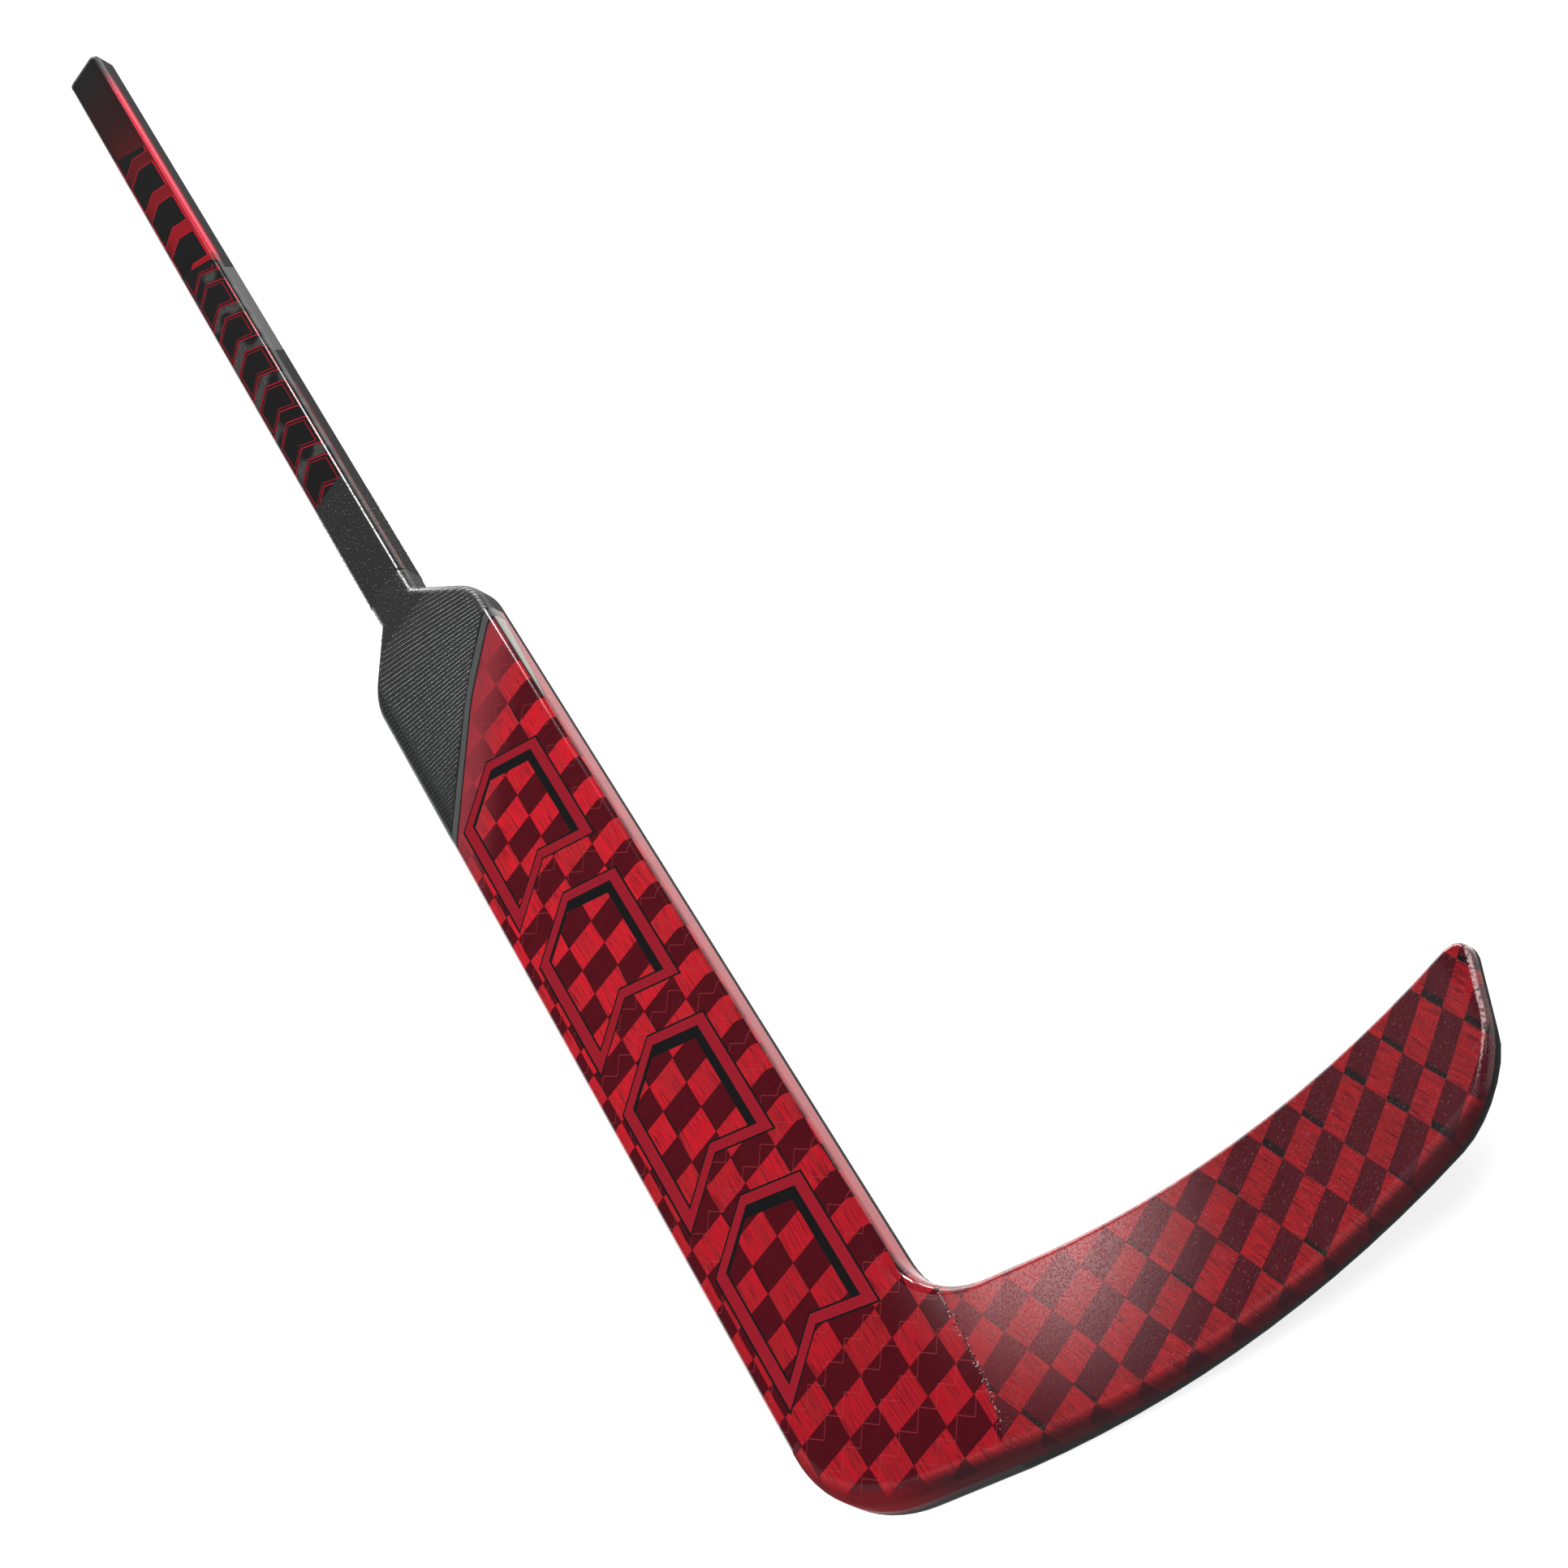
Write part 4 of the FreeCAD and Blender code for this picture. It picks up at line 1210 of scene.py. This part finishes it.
# %% Carbon field of the shaft
GRIP_TOP = 515.0
FIELD_BREAK = 6.0
FACET_GREY = (0.110, 0.105, 0.100)
FACET_START = 1.6
PATCH_ACROSS = 0.07
PATCH_ALONG = 0.045
PATCH_LIMITS = (0.42, 0.58)
BRUSH_RUN = (0.3, 0.12)
BRUSH_FINE = (-0.8, 2.2)
BRUSH_LIMITS = (0.25, 0.7)
OUTER_LINE = (0.3, 1.0)
INNER_LINE = (-2.1, -1.5)
CARBON_CHEVRON = {"pitch": 49.0, "half_height": 16.0, "slope": 1.1, "half_width": 12.5}


def carbon_field(paint, colour, front):
    """Black chevrons in double red lines, with brushed grey facets between some of them."""
    x = paint.x - SHAFT_MIDDLE
    lean = paint.y + paint.x * SHAFT_LEAN
    in_carbon = (lean < FIELD_END - FIELD_BREAK) * (paint.y > GRIP_TOP) * front
    outside = chevrons(x, paint.y - GRIP_TOP, **CARBON_CHEVRON)
    run = paint.x * BRUSH_RUN[0] + paint.y * BRUSH_RUN[1]
    brushed = paint.noise(run, paint.y * BRUSH_FINE[1] + paint.x * BRUSH_FINE[0])
    patches = paint.noise(paint.x * PATCH_ACROSS, paint.y * PATCH_ALONG, detail=0.0).ramp(*PATCH_LIMITS)
    facets = (outside > FACET_START) * patches * brushed.ramp(*BRUSH_LIMITS)
    colour = paint.mix(in_carbon * facets, colour, FACET_GREY)
    for (inner, outer), red in ((OUTER_LINE, LINE_RED), (INNER_LINE, FIELD_RED)):
        colour = paint.mix(in_carbon * (outside < outer) * (outside > inner), colour, red)
    return colour


print("carbon field from", GRIP_TOP, "to", FIELD_END - FIELD_BREAK, "mm")

# %% Side wall of the shaft
CORNER_RED = (0.85, 0.010, 0.050)
CORNER_SIDE = 10.6
CORNER_RISE = (11.5, 16.0)
CORNER_FADE = (1140.0, 1080.0)
WALL_SIDE = 11.6
PLATE_GREY = (0.15, 0.15, 0.15)
PLATE_HEIGHTS = (3.5, 15.0)
PLATE_ENDS = (700.0, 822.0)
PLATE_LEAN = 1.1
THIN_HEIGHT = 15.2
THIN_FALL = 2.0
THIN_ENDS = (420.0, 640.0)
THIN_HALF = 0.35
THIN_SHARE = 0.7


def side_wall(paint, colour):
    """A red line down the corner, a bare grey plate on the wall, and a thin red line towards the neck."""
    line = (paint.x > CORNER_SIDE) * (paint.z > CORNER_RISE[0]) * (paint.y > FIELD_END)
    line = line * paint.y.ramp(*CORNER_FADE) * paint.z.ramp(*CORNER_RISE)
    colour = paint.mix(line, colour, CORNER_RED)
    wall = paint.x > WALL_SIDE
    lean = paint.y + paint.z * PLATE_LEAN
    plate = wall * (paint.z > PLATE_HEIGHTS[0]) * (paint.z < PLATE_HEIGHTS[1])
    plate = plate * (lean > PLATE_ENDS[0]) * (lean < PLATE_ENDS[1])
    colour = paint.mix(plate, colour, PLATE_GREY)
    off_line = abs(paint.z - THIN_HEIGHT + paint.y.ramp(*THIN_ENDS) * THIN_FALL)
    thin = wall * (off_line < THIN_HALF) * (paint.y < THIN_ENDS[1])
    return paint.mix(thin * THIN_SHARE, colour, LINE_RED)


print("plate from", PLATE_ENDS[0], "to", PLATE_ENDS[1], "mm")

# %% Shaft finish
STREAK_ACROSS = 0.25
STREAK_ALONG = 0.9
SHAFT_STREAKS = 0.4
SHAFT_ROUGHNESS = 0.14
SHAFT_ROUGHER = 0.02


def shaft_paint():
    paint = Paint("shaft_paint")
    front = paint.z > FRONT_HEIGHT
    streaks = paint.noise(paint.x * STREAK_ACROSS, paint.y * STREAK_ALONG, paint.z * STREAK_ACROSS,
                          detail=4.0)
    colour = paint.mix(streaks * SHAFT_STREAKS, SHAFT_BLACK, SOOT)
    colour = paint.mix((paint.y < GRIP_TOP) * front, colour, GRIP_GREY)
    colour = red_field(paint, colour, front)
    colour = carbon_field(paint, colour, front)
    colour = side_wall(paint, colour)
    rough = streaks * SHAFT_ROUGHER + SHAFT_ROUGHNESS
    rough = rough.towards(paint.z.ramp(*WALL_HEIGHT), DULL_WALL)
    return paint.finish(colour, rough, shine=BLACK_SHINE)


dress(skins["shaft_tube"], shaft_paint(), "shaft_tube")

# %% [markdown]
# ## The dots of the grip
# Below the print the shaft is bare and gritty: small raised dots keep the glove from slipping. Dots could
# sit on a square grid, but those of a sprayed coat lie at random, no two too close. That is what a Poisson
# scatter does, here over the skins of shaft and collar together.

# %% Grip dots
DOT_RADIUS = 0.62 * MM
DOT_FACETS = {"Segments": 7, "Rings": 5}
DOT_GAP = 2.3 * MM
DOT_DENSITY = 400000.0
DOT_SEED = 3
DOT_LEAST = 0.5
DOT_FLATNESS = 0.45
DOT_RANGE = (366 * MM, 508 * MM)
GRIP_ROUGHNESS = 0.16
GRIP_ROUGHER = 0.1


def grip_black():
    paint = Paint("grip_black")
    grains = paint.grain(per_mm=1.3)
    colour = paint.mix(grains, SHAFT_BLACK, SOOT)
    return paint.finish(colour, grains * GRIP_ROUGHER + GRIP_ROUGHNESS)


def dot_places(group, given):
    """Random places on shaft and collar, and 1 for those outside the grip."""
    both = wire(group, "GeometryNodeJoinGeometry")
    for label in ("Shaft", "Collar"):
        info = wire(group, "GeometryNodeObjectInfo", {"Object": given.outputs[label]})
        group.links.new(info.outputs["Geometry"], both.inputs[0])
    points = wire(group, "GeometryNodeDistributePointsOnFaces", {
        "Mesh": both.outputs[0], "Distance Min": given.outputs["Gap"],
        "Density Max": DOT_DENSITY, "Seed": given.outputs["Seed"]}, distribute_method="POISSON")
    where = wire(group, "GeometryNodeInputPosition")
    place = wire(group, "ShaderNodeSeparateXYZ", {"Vector": where.outputs[0]})
    low = compare(group, place.outputs["Y"], "LESS_THAN", DOT_RANGE[0])
    high = compare(group, place.outputs["Y"], "GREATER_THAN", DOT_RANGE[1])
    under = compare(group, place.outputs["Z"], "LESS_THAN", DOT_GAP)
    return points, either(group, either(group, low, high), under)


def dot_tree():
    group, given, result = new_tree("grip_dots", {
        "Shaft": ("Object", None), "Collar": ("Object", None), "Radius": ("Float", DOT_RADIUS),
        "Gap": ("Float", DOT_GAP), "Seed": ("Int", DOT_SEED), "Finish": ("Material", None)})
    points, away = dot_places(group, given)
    kept = wire(group, "GeometryNodeDeleteGeometry", {
        "Geometry": points.outputs["Points"], "Selection": away}, domain="POINT")
    ball = wire(group, "GeometryNodeMeshUVSphere", {**DOT_FACETS, "Radius": given.outputs["Radius"]})
    width = odd_sizes(group, given.outputs["Seed"], DOT_LEAST, 1.0)
    size = wire(group, "ShaderNodeCombineXYZ", {"X": width, "Y": width, "Z": DOT_FLATNESS})
    dots = wire(group, "GeometryNodeInstanceOnPoints", {
        "Points": kept.outputs[0], "Instance": ball.outputs[0], "Scale": size.outputs[0],
        "Rotation": points.outputs["Rotation"]})
    return close(group, result, dots, given.outputs["Finish"])


grip_finish = grip_black()
grip_dots = grown("grip_dots", dot_tree(), {
    "Shaft": skins["shaft_tube"], "Collar": skins["shoulder_wrap_front"], "Finish": grip_finish})
dress(grip_dots, grip_finish)

# %% [markdown]
# ## The plug
# A moulded rubber plug closes the butt end: black, dull, and a little pitted.

# %% Plug finish
PLUG_ROUGHNESS = 0.42
PLUG_ROUGHER = 0.12
PLUG_RELIEF = 0.03


def plug_rubber():
    paint = Paint("plug_rubber")
    grains = paint.grain(per_mm=1.6, detail=3.0)
    colour = paint.mix(grains, SHAFT_BLACK, SOOT)
    return paint.finish(colour, grains * PLUG_ROUGHER + PLUG_ROUGHNESS, grains, PLUG_RELIEF)


dress(skins["butt_end_plug"], plug_rubber(), "butt_end_plug")

# %% [markdown]
# ## What is sealed inside
# Foam, ribs and the spar never show from outside, but a piece without a finish would be unfinished work for
# whoever cuts the model open. Foam is a pale, pitted solid, and the spar and ribs are bare carbon.

# %% Inside finishes
FOAM_PALE = (0.62, 0.58, 0.48)
FOAM_SHADE = (0.48, 0.44, 0.35)
CELL_LIMITS = (0.35, 0.7)
FOAM_ROUGHNESS = 0.75
FOAM_ROUGHER = 0.15
FOAM_RELIEF = 0.25


def foam():
    paint = Paint("core_foam")
    cells = paint.grain(per_mm=0.8, detail=4.0)
    colour = paint.mix(cells.ramp(*CELL_LIMITS), FOAM_SHADE, FOAM_PALE)
    return paint.finish(colour, cells * FOAM_ROUGHER + FOAM_ROUGHNESS, cells, FOAM_RELIEF)


core_foam = foam()
bare_carbon = black_weave("bare_carbon", roughness=0.4)
for node in ("paddle_core_toe_side", "paddle_core_back_side", "heel_core",
             "blade_core_lower", "blade_core_middle", "blade_core_upper"):
    dress(skins[node], core_foam, node)
for node in ("paddle_spar", "blade_rib_lower", "blade_rib_upper"):
    dress(skins[node], bare_carbon, node)
